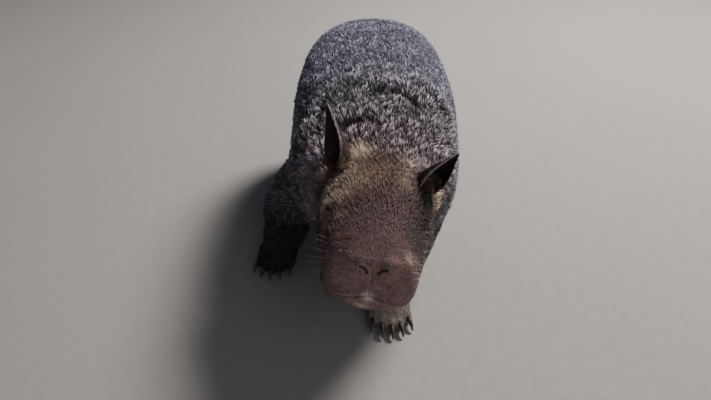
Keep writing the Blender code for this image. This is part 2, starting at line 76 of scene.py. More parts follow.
# Driving dimensions of the body, the same as in the solids
BACK_HEIGHT = 0.332
BODY_HALF_WIDTH = 0.142
RUMP_Y = 0.36
TAIL_LENGTH = 0.022
HEAD_LENGTH = 0.208
HEAD_HALF_WIDTH = 0.077
HEAD_AT = Vector((0.0, -0.186, 0.239))
HEAD_YAW, HEAD_PITCH, HEAD_ROLL = -4.0, -1.0, 7.0
EAR_LENGTH = 0.082
EAR_HALF_WIDTH = 0.019
EAR_WALL = 0.0024
EAR_BEND = 0.006
EYE_RADIUS = 0.0078
SHOULDER_OUT = {"left": 0.064, "right": 0.076}
ELBOW_OUT = {"left": 0.006, "right": 0.018}
CLAW_LENGTH = 0.024

# Where the solids stand in the frame of these forms
PLACED = Vector((0.02206, 0.00777, -0.0004))

VOXEL = 0.0033
BODY_TRIANGLES = 75000
RING = 48
STEPS = 5

# Colours, as linear red, green and blue
UNDERFUR = (0.03, 0.026, 0.03)
BROWN_UNDERFUR = (0.036, 0.021, 0.018)
# The body's grey, at root and tip, carries a blue that is painted reflection of the sky
GREY_AND_SKY_REFLECTION = (0.118, 0.112, 0.164)
GREY_TIP_AND_SKY_REFLECTION = (0.56, 0.545, 0.76)
WARM = (0.118, 0.102, 0.108)
WARM_TIP = (0.63, 0.575, 0.635)
TAN = (0.13, 0.062, 0.035)
TAN_TIP = (0.38, 0.205, 0.112)
MAUVE = (0.096, 0.039, 0.036)
PALE_MAUVE = (0.315, 0.2, 0.188)
MAUVE_TIP = (0.78, 0.6, 0.68)
DARK = (0.016, 0.013, 0.014)
# The brown of the dark band on the sides of the head: partly darker fur and partly painted shadow
DARK_FUR_AND_SHADOW_BROWN = (0.03, 0.014, 0.01)
# Pale blond for the tufts at the roots of the ears, also used as painted light on the right side of the head
# and on the left forepaw
BLOND_AND_PAINTED_LIGHT = (0.93, 0.76, 0.56)
# Pale mauve silver for the rims of the ears and the patches by the left ear, also used as painted light on
# the right side of the neck
SILVER_AND_PAINTED_LIGHT = (0.64, 0.505, 0.58)
RUST = (0.3, 0.12, 0.045)
ROSE = (0.9, 0.76, 0.74)
MOIST_SKIN = (0.035, 0.018, 0.016)
PUPIL = (0.006, 0.005, 0.005)
EYE_BROWN = (0.03, 0.014, 0.007)
EYE_STREAK = (0.01, 0.007, 0.005)
HORN = (0.036, 0.03, 0.028)
HORN_TIP = (0.11, 0.096, 0.086)
HORN_GRAIN = (0.03, 0.024, 0.02)
WHISKER = (0.56, 0.5, 0.42)
WHISKER_GRAIN = (0.3, 0.25, 0.21)
FLOOR = (0.39, 0.367, 0.352)
FLOOR_BROAD = (0.35, 0.328, 0.31)
FLOOR_FINE = (0.29, 0.27, 0.25)
KEY_LIGHT = (1.0, 0.97, 0.93)
FILL_LIGHT = (1.0, 0.96, 0.93)
SKY = (0.72, 0.8, 1.0, 1.0)


# Making of simple closed forms


def linked(name, data):
    """A new object in the scene."""
    obj = bpy.data.objects.new(name, data)
    bpy.context.scene.collection.objects.link(obj)
    return obj


def object_from(bm, name="form", matrix=None):
    if matrix is not None:
        bmesh.ops.transform(bm, matrix=matrix, verts=bm.verts)
    bmesh.ops.recalc_face_normals(bm, faces=bm.faces)
    mesh = bpy.data.meshes.new(name)
    bm.to_mesh(mesh)
    bm.free()
    return linked(name, mesh)


def settle(obj):
    """Applies every modifier of the object."""
    bpy.context.view_layer.update()
    graph = bpy.context.evaluated_depsgraph_get()
    mesh = bpy.data.meshes.new_from_object(obj.evaluated_get(graph))
    obj.modifiers.clear()
    obj.data = mesh


def joined(objects):
    """One mesh of several objects, which are removed."""
    bm = bmesh.new()
    for obj in objects:
        bm.from_mesh(obj.data)
        bpy.data.objects.remove(obj, do_unlink=True)
    return bm


def through(rows, steps):
    """A smooth curve through rows of numbers, with this many steps between each two."""
    rows = [np.array(row, float) for row in rows]
    rows = [2 * rows[0] - rows[1], *rows, 2 * rows[-1] - rows[-2]]
    made = []
    for i in range(len(rows) - 3):
        for t in (k / steps for k in range(steps)):
            weights = (-t + 2 * t**2 - t**3, 2 - 5 * t**2 + 3 * t**3, t + 4 * t**2 - 3 * t**3, t**3 - t**2)
            made.append(sum(weight / 2 * row for weight, row in zip(weights, rows[i:])))
    return [*made, rows[-2]]


def section(y, half_width, top, bottom, squareness):
    """A ring across Y. Squareness 2 is an ellipse, and more is boxier."""
    middle, power = (top + bottom) / 2, 2 / squareness
    ring = []
    for i in range(RING):
        c, s = math.cos(2 * math.pi * i / RING), math.sin(2 * math.pi * i / RING)
        across, up = math.copysign(abs(c) ** power, c), math.copysign(abs(s) ** power, s)
        ring.append(Vector((half_width * across, y, middle + (top - middle) * up)))
    return ring


def loft(rings, matrix=None):
    """A closed skin through rings that have the same number of points."""
    bm = bmesh.new()
    loops = [[bm.verts.new(point) for point in ring] for ring in rings]
    for a, b in zip(loops, loops[1:]):
        for i in range(len(a)):
            j = (i + 1) % len(a)
            bm.faces.new((a[i], a[j], b[j], b[i]))
    bm.faces.new(loops[0])
    bm.faces.new(loops[-1])
    return object_from(bm, matrix=matrix)


def tube(rows, matrix=None, sides=RING, steps=STEPS, upright=Vector((0, 0, 1))):
    """A limb along a smooth path. Each row is x, y, z, half width and half depth at one joint."""
    rows = through(rows, steps)
    points = [Vector(row[:3]) for row in rows]
    turns = [2 * math.pi * k / sides for k in range(sides)]
    rings = []
    for point, before, after, row in zip(points, points[:1] + points, points[1:] + points[-1:], rows):
        along = (after - before).normalized()
        across = along.cross(upright).normalized()
        deep = across.cross(along)
        wide, high = row[3:]
        rings.append([point + across * (wide * math.cos(a)) + deep * (high * math.sin(a)) for a in turns])
    return loft(rings, matrix)


def egg(centre, radii, matrix=None, name="form", segments=32):
    """An ellipsoid with its centre and three radii in the frame that matrix gives."""
    bm = bmesh.new()
    shape = Matrix.Translation(centre) @ Matrix.Diagonal((*radii, 1.0))
    rows = 2 * segments // 3
    bmesh.ops.create_uvsphere(bm, u_segments=segments, v_segments=rows, radius=1.0, matrix=shape)
    return object_from(bm, name, matrix)


def turned(yaw=0.0, pitch=0.0, roll=0.0):
    """Roll about Y first, then pitch about X, then yaw about Z."""
    made = Matrix.Identity(4)
    for axis, degrees in (("Z", yaw), ("X", pitch), ("Y", roll)):
        made = made @ Matrix.Rotation(math.radians(degrees), 4, axis)
    return made


def turn_of(matrix):
    return np.array(matrix.to_3x3())


def aimed(at, direction, facing):
    """A frame at a point, with +Z along direction and -Y as near to facing as that allows."""
    up = Vector(direction).normalized()
    across = up.cross(Vector(facing)).normalized()
    turn = Matrix((across, up.cross(across), up)).transposed().to_4x4()
    return Matrix.Translation(at) @ turn


# Frames of the head, ears and paws, where the solids have them

SIDES = {"left": 1, "right": -1}
TO_PLACE = Matrix.Translation(PLACED)
HEAD = TO_PLACE @ Matrix.Translation(HEAD_AT) @ turned(HEAD_YAW, HEAD_PITCH, HEAD_ROLL)
# Where each ear leaves the skull, where it points and where its cup opens. The left ear is carried lower.
EARS = {
    "left": HEAD @ aimed((0.0565, -0.0375, 0.029), (0.37, -0.515, 0.773), (0.3, -0.85, -0.45)),
    "right": HEAD @ aimed((-0.051, -0.035, 0.036), (-0.42, 0.16, 0.89), (-0.7, -0.7, 0.0)),
}


def standing(x, y, yaw):
    """The frame of a paw on the floor."""
    return TO_PLACE @ Matrix.Translation((x, y, 0.0)) @ turned(yaw=yaw)


FORE_PAWS = {"left": standing(0.018, -0.18, 4), "right": standing(-0.166, -0.045, -8)}
HIND_PAWS = {"left": standing(0.108, 0.25, 9), "right": standing(-0.108, 0.175, -9)}


# The forms of the body

# The trunk: how far ahead of the rump, half width and height of the top and bottom as shares, and squareness
BARREL = [
    (0.0, 0.3, 0.68, 0.47, 2.0),
    (0.012, 0.56, 0.79, 0.39, 2.1),
    (0.045, 0.82, 0.92, 0.32, 2.2),
    (0.1, 0.95, 0.99, 0.25, 2.3),
    (0.19, 1.01, 1.01, 0.195, 2.3),
    (0.29, 1.02, 1.0, 0.175, 2.3),
    (0.38, 0.96, 0.975, 0.19, 2.3),
    (0.45, 0.9, 0.945, 0.22, 2.2),
    (0.51, 0.8, 0.91, 0.28, 2.2),
    (0.56, 0.62, 0.86, 0.4, 2.1),
]


def body_forms():
    """The barrel from the rump to the base of the neck, with the shoulders, haunches, breast and tail."""
    w, h = BODY_HALF_WIDTH, BACK_HEIGHT
    barrel = [(RUMP_Y - y, wide * w, top * h, low * h, square) for y, wide, top, low, square in BARREL]
    forms = [loft([section(*row) for row in through(barrel, STEPS)], TO_PLACE)]
    for name, side in SIDES.items():
        shoulder, haunch = (side * SHOULDER_OUT[name], -0.08, 0.192), (side * 0.084, 0.245, 0.16)
        forms.append(egg(shoulder, (0.064, 0.09, 0.098), TO_PLACE))
        forms.append(egg(haunch, (0.062, 0.104, 0.122), TO_PLACE))
    breast = egg((0.0, -0.11, 0.152), (0.09, 0.082, 0.082), TO_PLACE)
    tail = [
        (0.0, RUMP_Y - 0.035, 0.2, 0.022, 0.022),
        (0.0, RUMP_Y - 0.006, 0.182, 0.018, 0.017),
        (0.0, RUMP_Y + 0.6 * TAIL_LENGTH, 0.16, 0.012, 0.011),
        (0.0, RUMP_Y + TAIL_LENGTH, 0.146, 0.006, 0.006),
    ]
    return [*forms, breast, tube(tail, TO_PLACE)]


def neck_forms():
    """The neck, from between the shoulders to the back of the skull, and the loose throat under it."""
    skull = HEAD @ Vector((0.0, -0.04, -0.006))
    shoulders = TO_PLACE @ Vector((0.0, -0.05, 0.2))
    middle = shoulders.lerp(skull, 0.55)
    rows = [(*shoulders, 0.124, 0.1), (*middle, 0.118, 0.086), (*skull, 0.082, 0.06)]
    return [tube(rows), egg(HEAD @ Vector((0.0, 0.005, -0.05)), (0.084, 0.078, 0.054))]


# The skull: how far ahead of the nape and half width as shares, top, bottom and squareness
SKULL = [
    (-0.02 / HEAD_LENGTH, 0.66, 0.032, -0.04, 2.0),
    (0.0, 0.82, 0.043, -0.052, 2.1),
    (0.18, 0.93, 0.05, -0.062, 2.3),
    (0.36, 0.96, 0.05, -0.068, 2.4),
    (0.5, 0.92, 0.047, -0.068, 2.5),
    (0.64, 0.84, 0.042, -0.067, 2.6),
    (0.78, 0.79, 0.037, -0.066, 2.7),
    (0.9, 0.72, 0.03, -0.064, 2.8),
    (0.97, 0.62, 0.022, -0.058, 2.6),
    (1.0, 0.44, 0.01, -0.046, 2.4),
]
# Rounder forms of the head: the middle of each, with y as a share of HEAD_LENGTH, and its three radii
PAIRED_FORMS = {
    "cheek": ((0.041, -0.4, -0.026), (0.036, 0.06, 0.042)),
    "brow": ((0.048, -0.53, 0.022), (0.015, 0.03, 0.014)),
    "whisker pad": ((0.031, -0.87, -0.022), (0.027, 0.028, 0.024)),
    "jowl": ((0.035, -0.72, -0.047), (0.026, 0.05, 0.023)),
    "nostril wing": ((0.016, -0.955, 0.008), (0.018, 0.014, 0.015)),
}
SINGLE_FORMS = {
    "chin": ((0.0, -0.79, -0.057), (0.037, 0.036, 0.016)),
    "nose": ((0.0, -0.945, 0.009), (0.017, 0.015, 0.013)),
}


def face_forms(table, side=1):
    return [egg((side * x, y * HEAD_LENGTH, z), radii, HEAD) for (x, y, z), radii in table.values()]


def head_forms():
    """The broad flat skull with its rounder forms and the roots of the ears."""
    skull = [(-ahead * HEAD_LENGTH, wide * HEAD_HALF_WIDTH, *rest) for ahead, wide, *rest in SKULL]
    forms = [loft([section(*row) for row in through(skull, STEPS)], HEAD)]
    for name, side in SIDES.items():
        forms += face_forms(PAIRED_FORMS, side)
        forms.append(egg((0.0, 0.006, -0.01), (0.021, 0.021, 0.019), EARS[name]))
    return forms + face_forms(SINGLE_FORMS)


# Half width and half depth of each leg at its six joints, from inside the body to inside the paw
FORE_SIZES = ((0.026, 0.034), (0.052, 0.066), (0.048, 0.056), (0.04, 0.044), (0.034, 0.036), (0.022, 0.022))
HIND_SIZES = ((0.026, 0.042), (0.054, 0.086), (0.053, 0.074), (0.042, 0.052), (0.035, 0.038), (0.02, 0.022))


def leg(top, end, bend, share, low_bend, sizes):
    """A leg from the body to the paw, bent at the elbow or knee, and a little at a share of the way."""
    knee = top.lerp(end, 0.45) + Vector(bend)
    low = top.lerp(end, share) + Vector(low_bend)
    joints = (top + 0.3 * (top - knee), top, knee, low, end, end - 0.1 * (low - end))
    return tube([(*joint, *size) for joint, size in zip(joints, sizes)], upright=Vector((0, 1, 0)))


def foreleg(name, side):
    """The upper arm and forearm, from the shoulder to the wrist."""
    top = TO_PLACE @ Vector((side * (SHOULDER_OUT[name] + 0.014), -0.074, 0.182))
    wrist = FORE_PAWS[name] @ Vector((0.0, 0.004, 0.03))
    elbow = (side * ELBOW_OUT[name], 0.02, -0.006)
    return leg(top, wrist, elbow, 0.78, (side * 0.002, 0.004, 0.0), FORE_SIZES)


def hindleg(name, side):
    """The thigh and the short shank, from the haunch to the ankle."""
    hip = TO_PLACE @ Vector((side * 0.09, 0.235, 0.17))
    ankle = HIND_PAWS[name] @ Vector((0.0, 0.02, 0.03))
    return leg(hip, ankle, (side * 0.014, -0.034, 0.0), 0.8, (side * 0.004, -0.008, 0.0), HIND_SIZES)


TOES = 5
FORE_REACH, HIND_REACH = 0.046, 0.072
TOE_SPACING = 0.0127
TOE_HEIGHT = 0.0105
FORE_PALM = ((0.0, -0.01, 0.016), (0.035, 0.04, 0.024))
HIND_SOLE = ((0.0, -0.02, 0.015), (0.033, 0.06, 0.023))


def toe_frames(reach, side, paw):
    """A frame at each toe's root, from the inner toe outwards, toes towards -Y."""
    frames = []
    for i in range(TOES):
        out = i - (TOES - 1) / 2
        bow = 1 - 0.085 * out * out
        root = Vector((side * out * TOE_SPACING, -reach * bow, TOE_HEIGHT))
        frames.append(paw @ Matrix.Translation(root) @ turned(yaw=5.5 * out * side))
    return frames


def paw_forms(palm, reach, side, paw):
    """A broad pad with its toes, which end just behind the claws."""
    toes = toe_frames(reach, side, paw)
    return [egg(*palm, paw)] + [egg((0.0, 0.004, 0.0), (0.009, 0.021, 0.012), toe) for toe in toes]


# Each row is the height, half width and depth as shares, and how far the ear's cup wraps round.
EAR_PROFILE = [
    (0.0, 0.9, 0.9, 138),
    (0.16, 1.02, 0.94, 126),
    (0.32, 0.99, 0.85, 108),
    (0.5, 0.83, 0.66, 96),
    (0.67, 0.61, 0.47, 88),
    (0.83, 0.37, 0.3, 84),
    (0.94, 0.19, 0.16, 80),
    (1.0, 0.08, 0.08, 76),
]


def ear_form(frame):
    """A long pointed ear, a cup that is open towards its frame's -Y and closes round at the root."""
    turns = 19
    rings = []
    for height, wide, deep, wrap in through(EAR_PROFILE, 4):
        wall = EAR_WALL * (1.1 - 0.6 * height)
        half_width = max(wide * EAR_HALF_WIDTH, 0.0014)
        depth = max(deep * EAR_HALF_WIDTH, 0.0012)
        bend = EAR_BEND * height**2
        outer, inner = [], []
        for i in range(turns):
            turn = math.radians(wrap) * (2 * i / (turns - 1) - 1)
            for ring, thinner in ((outer, 0.0005), (inner, wall)):
                x = max(half_width - thinner, 0.25 * half_width) * math.sin(turn)
                y = max(depth - thinner, 0.25 * depth) * math.cos(turn)
                ring.append(Vector((x, y - 0.35 * depth + bend, height * EAR_LENGTH)))
        rings.append(outer + inner[::-1])
    return loft(rings, frame)


# Places on the skin, for arrays of points


def rise(value, low, high):
    """0 below low, 1 above high and smooth between."""
    t = np.clip((value - low) / (high - low), 0.0, 1.0)
    return t * t * (3 - 2 * t)


def fall(value, low, high):
    """1 below low, 0 above high and smooth between."""
    return 1 - rise(value, low, high)


def bell(value, width):
    """1 at 0, and falling away smoothly on both sides."""
    return np.exp(-((value / width) ** 2))


def local(points, matrix):
    """The points in the frame that matrix gives."""
    return (points - np.array(matrix.translation)) @ turn_of(matrix)


def away(points, centre):
    """The distance of each point from one place."""
    return np.linalg.norm(points - np.array(centre), axis=1)


def unit(vectors):
    return vectors / np.maximum(np.linalg.norm(vectors, axis=1, keepdims=True), 1e-12)


def near_line(points, line):
    """How far each point is from a line through places, and what share along it."""
    line = np.array([list(place) for place in line], float)
    best = np.full(len(points), np.inf)
    share = np.zeros(len(points))
    for i, (a, b) in enumerate(zip(line, line[1:])):
        t = np.clip((points - a) @ (b - a) / max((b - a) @ (b - a), 1e-12), 0.0, 1.0)
        distance = np.linalg.norm(points - a - t[:, None] * (b - a), axis=1)
        closer = distance < best
        best[closer] = distance[closer]
        share[closer] = (i + t[closer]) / (len(line) - 1)
    return best, share


def forward_share(points):
    """How far ahead of the nape each point lies, as a share of the head's length."""
    return -local(points, HEAD)[:, 1] / HEAD_LENGTH


def on_head(points):
    """1 on the head and 0 behind and below it."""
    place = local(points, HEAD)
    return rise(-place[:, 1], -0.004, 0.02) * rise(place[:, 2], -0.1, -0.078)


def along_ear(points, matrix):
    """How far up the axis of an ear each point is, and how far from it."""
    place = local(points, matrix)
    return place[:, 2], np.hypot(place[:, 0], place[:, 1])


def on_ears(points):
    """1 on the blades of the ears."""
    found = np.zeros(len(points))
    for matrix in EARS.values():
        up, out = along_ear(points, matrix)
        found = np.maximum(found, rise(up, 0.004, 0.018) * fall(out, 0.024, 0.03))
    return found


def on_paws(points):
    return fall(points[:, 2], 0.028, 0.074)


def on_legs(points):
    """1 on the free lengths of the legs, below the body."""
    place = local(points, HEAD)
    throat = rise(-place[:, 1], -0.02, 0.03) * rise(place[:, 2], -0.13, -0.1)
    return fall(points[:, 2], 0.085, 0.15) * (1 - throat)


def coat_depth(points):
    """How far the coat stands out from the skin."""
    ahead, head = forward_share(points), on_head(points)
    depth = np.full(len(points), 0.0062)
    depth += (0.0042 - depth) * on_legs(points)
    depth += (0.0022 - depth) * (rise(ahead, -0.05, 0.3) * head)
    depth += (0.0012 - depth) * (rise(ahead, 0.45, 0.95) * head)
    depth += (0.0014 - depth) * on_paws(points)
    return depth * rise(points[:, 2], 0.001, 0.012)


# The skin


def softness(points):
    """How much the forms are smoothed: fully on the body, little on the paws and the face."""
    face = np.clip((forward_share(points) - 0.15) / 0.35, 0.0, 1.0)
    foot = np.clip((0.06 - points[:, 2]) / 0.04, 0.0, 1.0)
    return 1.0 - 0.9 * np.maximum(face, foot)


def read(mesh, what="co"):
    """The place or the normal of each of the mesh's points."""
    flat = np.empty(len(mesh.vertices) * 3, np.float32)
    mesh.vertices.foreach_get(what, flat)
    return flat.reshape(-1, 3).astype(float)


def set_places(mesh, points):
    mesh.vertices.foreach_set("co", points.astype(np.float32).ravel())
    mesh.update()


def weigh(obj, weights):
    """A vertex group with these weights, in a hundred steps. Returns its name."""
    group = obj.vertex_groups.new(name="here")
    steps = np.round(weights * 100).astype(int)
    for step in range(1, 101):
        members = np.nonzero(steps == step)[0].tolist()
        if members:
            group.add(members, step / 100, "REPLACE")
    return group.name


def soften(obj, weights, times):
    """Smooths the mesh where weights say."""
    smooth = obj.modifiers.new("Soften", "SMOOTH")
    smooth.iterations = times
    smooth.vertex_group = weigh(obj, weights)
    settle(obj)
    obj.vertex_groups.clear()


def fuse(pieces):
    """All the soft forms as one smooth closed skin."""
    hide = object_from(joined(pieces), "skin")
    remesh = hide.modifiers.new("Fuse", "REMESH")
    remesh.mode = "VOXEL"
    remesh.voxel_size = VOXEL
    settle(hide)
    keep_largest(hide)
    soften(hide, softness(read(hide.data)), 70)
    return hide


def keep_largest(obj):
    """Keeps the object's largest closed surface."""
    bm = bmesh.new()
    bm.from_mesh(obj.data)
    left = set(bm.verts)
    islands = []
    while left:
        island, ahead = set(), [next(iter(left))]
        while ahead:
            vertex = ahead.pop()
            if vertex not in island:
                island.add(vertex)
                ahead.extend(edge.other_vert(vertex) for edge in vertex.link_edges)
        left -= island
        islands.append(island)
    largest = max(islands, key=len)
    bmesh.ops.delete(bm, geom=[vertex for vertex in bm.verts if vertex not in largest], context="VERTS")
    bm.to_mesh(obj.data)
    bm.free()


def join_ears(hide):
    """Joins the blades of the ears to the skin and rounds the corner between them."""
    for matrix in EARS.values():
        ear = ear_form(matrix)
        union = hide.modifiers.new("Join", "BOOLEAN")
        union.operation = "UNION"
        union.solver = "MANIFOLD"
        union.object = ear
        settle(hide)
        bpy.data.objects.remove(ear, do_unlink=True)
    points = read(hide.data)
    weights = np.zeros(len(points))
    for matrix in EARS.values():
        up, out = along_ear(points, matrix)
        weights = np.maximum(weights, fall(up, 0.018, 0.03) * fall(out, 0.026, 0.036))
    soften(hide, weights * rise(points[:, 2], 0.2, 0.21), 6)


def corners_of(mesh):
    """The three points of each triangle of the mesh."""
    mesh.calc_loop_triangles()
    corners = np.empty(len(mesh.loop_triangles) * 3, np.int32)
    mesh.loop_triangles.foreach_get("vertices", corners)
    return corners.reshape(-1, 3)


def thin(obj, here, triangles):
    """Thins the mesh to about this many triangles where here is true."""
    corners = corners_of(obj.data)
    inside = here[corners].all(axis=1).sum()
    thinner = obj.modifiers.new("Thin", "DECIMATE")
    thinner.ratio = 1 - (inside - triangles) / len(corners)
    thinner.vertex_group = weigh(obj, here.astype(float))
    settle(obj)
    obj.vertex_groups.clear()


def subdivide(obj, rule):
    """Splits each face whose points all lie where the rule is true into four."""
    here = rule(read(obj.data))
    bm = bmesh.new()
    bm.from_mesh(obj.data)
    bm.verts.ensure_lookup_table()
    edges = [edge for edge in bm.edges if all(here[v.index] for v in edge.verts)]
    bmesh.ops.subdivide_edges(bm, edges=edges, cuts=1, use_grid_fill=True, smooth=0.0)
    bm.to_mesh(obj.data)
    bm.free()


def tapered(share):
    """1 along the middle of a line, and less towards its ends."""
    return np.sin(np.pi * np.clip(share, 0.0, 1.0)) ** 0.5


def crease(points, normals, line, depth, width, ridge=0.5):
    """Presses a soft furrow along a line into the skin, with a low ridge on each side."""
    distance, share = near_line(points, line)
    bank = ridge * bell(distance - 2.4 * width, 1.2 * width)
    push = (bank - bell(distance, width)) * tapered(share) * depth
    return points + normals * push[:, None]


# Folds of loose skin over the shoulders, which cross the back behind the nape: how strong each one is, and
# its line as x and y on the body in millimetres
SHOULDER_FOLDS = [
    (1.2, [(-22, -64), (0, -57), (20, -55), (40, -61), (54, -76), (60, -92)]),
    (1.0, [(50, -26), (64, -22), (78, -30), (90, -44), (98, -62)]),
    (0.9, [(-24, -22), (-38, -32), (-50, -52), (-58, -78)]),
    (0.55, [(-70, -50), (-82, -70), (-88, -100)]),
    (0.75, [(-58, -142), (-42, -129), (-22, -124), (-4, -131)]),
    (0.45, [(12, -112), (34, -104), (56, -112), (70, -130)]),
]
# Creases on each side of the face, over and under the eye, behind the muzzle and behind the nose: the depth,
# the width and three places, with y as a share of HEAD_LENGTH
FACE_FOLDS = [
    (0.001, 0.002, ((0.052, -0.5, 0.036), (0.056, -0.6, 0.03), (0.052, -0.7, 0.02))),
    (0.001, 0.002, ((0.066, -0.5, -0.012), (0.064, -0.6, -0.014), (0.058, -0.69, -0.006))),
    (0.0011, 0.0026, ((0.05, -0.76, -0.006), (0.054, -0.74, -0.024), (0.056, -0.68, -0.044))),
    (0.0004, 0.0026, ((0.022, -0.9, 0.022), (0.036, -0.86, 0.012), (0.044, -0.84, -0.006))),
]


def fold_line(places):
    """The line of a shoulder fold as x and y on the body, with more places between."""
    return through([(x / 1000, y / 1000) for x, y in places], 4)


def tree_of(hide):
    return BVHTree.FromObject(hide, bpy.context.evaluated_depsgraph_get())


def press_folds(hide):
    """The places of the skin's points once the folds are pressed in."""
    tree = tree_of(hide)
    points, normals = read(hide.data), read(hide.data, "normal")
    for strength, fold in SHOULDER_FOLDS:
        above = [TO_PLACE @ Vector((x, y, 0.6)) for x, y in fold_line(fold)]
        line = [tree.ray_cast(place, Vector((0, 0, -1)))[0] for place in above]
        points = crease(points, normals, line, 0.0095 * strength, 0.0085, 0.45)
    for side in (-1, 1):
        for depth, width, places in FACE_FOLDS:
            line = [HEAD @ Vector((side * x, y * HEAD_LENGTH, z)) for x, y, z in places]
            line = [tree.find_nearest(Vector(place))[0] for place in through(line, 4)]
            points = crease(points, normals, line, depth, width)
    return points


def eye_frame(side):
    """A frame at the eyeball's centre, with +Z out of the head and +Y towards the nape."""
    low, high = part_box("eye_left" if side > 0 else "eye_right")
    forward = HEAD.to_3x3() @ Vector((0.0, -1.0, 0.0))
    out = (HEAD.to_3x3() @ Vector((side * 0.9, -0.3, 0.3))).normalized()
    return aimed((low + high) / 2, out, forward)


EYES = {"left": eye_frame(1), "right": eye_frame(-1)}
FAR = 9.0


def lid_edge(points, matrix, within):
    """How far out from the middle of the eye's almond-shaped opening each point is. The edge is at 1.

    It is FAR inside the head, and further from the eye's centre than this many radii of the eye.
    """
    place = local(points, matrix)
    along = place[:, 1] / (0.92 * EYE_RADIUS)
    across = place[:, 0] / (0.54 * EYE_RADIUS)
    narrowed = 1.0 - 0.3 * np.clip(along, -1.0, 1.0) ** 2
    near = (place[:, 2] > -0.3 * EYE_RADIUS) & (np.linalg.norm(place, axis=1) < within * EYE_RADIUS)
    return np.where(near, np.hypot(along, across / narrowed), FAR)


def sculpt_lids(points, matrix):
    """Opens the skin over the eyeball and lays a rounded lid edge on it, with a fold behind."""
    edge = lid_edge(points, matrix, 4)
    reach = np.linalg.norm(local(points, matrix), axis=1)
    lid = EYE_RADIUS + 0.0019 - 0.0004 * rise(edge, 1.4, 1.9)
    hollow = 0.72 * EYE_RADIUS
    wanted = np.where(edge < 1.0, hollow, hollow + (lid - hollow) * rise(edge, 1.0, 1.16))
    wanted = np.where(edge > 1.16, np.maximum(lid, reach * rise(edge, 1.16, 2.2)), wanted)
    moved = reach + (wanted - reach) * fall(edge, 1.5, 2.4)
    moved -= 0.0007 * bell(edge - 1.85, 0.16)
    centre = np.array(matrix.translation)
    return centre + (points - centre) * (moved / np.maximum(reach, 1e-9))[:, None]


# The line of each nostril, from its inner end outwards: across and up in the head's frame
NOSTRIL = [(0.0066, 0.0), (0.0076, 0.0042), (0.0104, 0.008), (0.0148, 0.0092)]


def from_nostrils(points):
    """The distance of each point from the nearer nostril's line, seen from the front."""
    flat = local(points, HEAD) * np.array([1.0, 0.0, 1.0])
    lines = [[(side * x, 0.0, z) for x, z in NOSTRIL] for side in (-1, 1)]
    return np.minimum(*(near_line(flat, line)[0] for line in lines))


def sculpt_nose(points):
    """The comma-shaped nostrils with their raised wings, and the split of the upper lip."""
    place = local(points, HEAD)
    distance = from_nostrils(points)
    push = 0.0046 * bell(distance, 0.0013) - 0.0011 * bell(distance - 0.0038, 0.0015)
    split = bell(place[:, 0], 0.0011) * rise(place[:, 2], -0.04, -0.033)
    push += 0.0012 * split * fall(place[:, 2], -0.012, 0.002)
    push *= rise(forward_share(points), 0.86, 0.93)
    return points + turn_of(HEAD)[:, 1] * push[:, None]


def from_mouth(points):
    """The angle of each point round the muzzle, and its height over the line between the lips."""
    place = local(points, HEAD)
    turn = np.abs(np.arctan2(place[:, 0], -(place[:, 1] + 0.72 * HEAD_LENGTH)))
    step = turn / math.radians(10.7)
    line = -0.034 - 0.009 * np.minimum(1.0, step / 3) + 0.01 * np.maximum(0.0, step - 4) / 3
    return turn, place[:, 2] - line


def sculpt_mouth(points, normals):
    """Presses in the line between the lips and swells the lips on both sides of it."""
    turn, above = from_mouth(points)
    push = 0.0009 * bell(np.abs(above) - 0.004, 0.0022) - 0.003 * bell(above, 0.0013)
    push *= fall(turn, math.radians(66), math.radians(80)) * rise(forward_share(points), 0.62, 0.7)
    return points + normals * push[:, None]


def off_head(points):
    """True where the skin is plain: off the head, the ears and the paws."""
    return (on_head(points) == 0) & (on_ears(points) == 0) & (points[:, 2] > 0.06)


def on_face(points):
    return (forward_share(points) > 0.36) & (local(points, HEAD)[:, 2] > -0.08)


def on_fine_parts(points):
    """True close to the eyes and on the nose."""
    x, _, z = local(points, HEAD).T
    found = (forward_share(points) > 0.93) & (np.abs(x) < 0.026) & (z > -0.04) & (z < 0.016)
    for matrix in EYES.values():
        found |= np.linalg.norm(local(points, matrix), axis=1) < 2.3 * EYE_RADIUS
    return found


def make_skin():
    """The whole hide, inside the coat by its depth, with ears, lids, nostrils, lips and folds."""
    forms = body_forms() + neck_forms() + head_forms()
    for name, side in SIDES.items():
        forms += paw_forms(FORE_PALM, FORE_REACH, side, FORE_PAWS[name])
        forms += paw_forms(HIND_SOLE, HIND_REACH, side, HIND_PAWS[name])
        forms += [foreleg(name, side), hindleg(name, side)]
    hide = fuse(forms)
    points = read(hide.data)
    points -= read(hide.data, "normal") * coat_depth(points)[:, None]
    points[:, 2] = np.maximum(points[:, 2], 0.0)
    set_places(hide.data, points)
    join_ears(hide)
    thin(hide, off_head(read(hide.data)), BODY_TRIANGLES)
    subdivide(hide, on_face)
    subdivide(hide, on_fine_parts)
    soften(hide, on_face(read(hide.data)).astype(float), 3)
    points = press_folds(hide)
    set_places(hide.data, points)
    points = sculpt_nose(sculpt_mouth(points, read(hide.data, "normal")))
    for matrix in EYES.values():
        points = sculpt_lids(points, matrix)
    set_places(hide.data, points)
    return hide
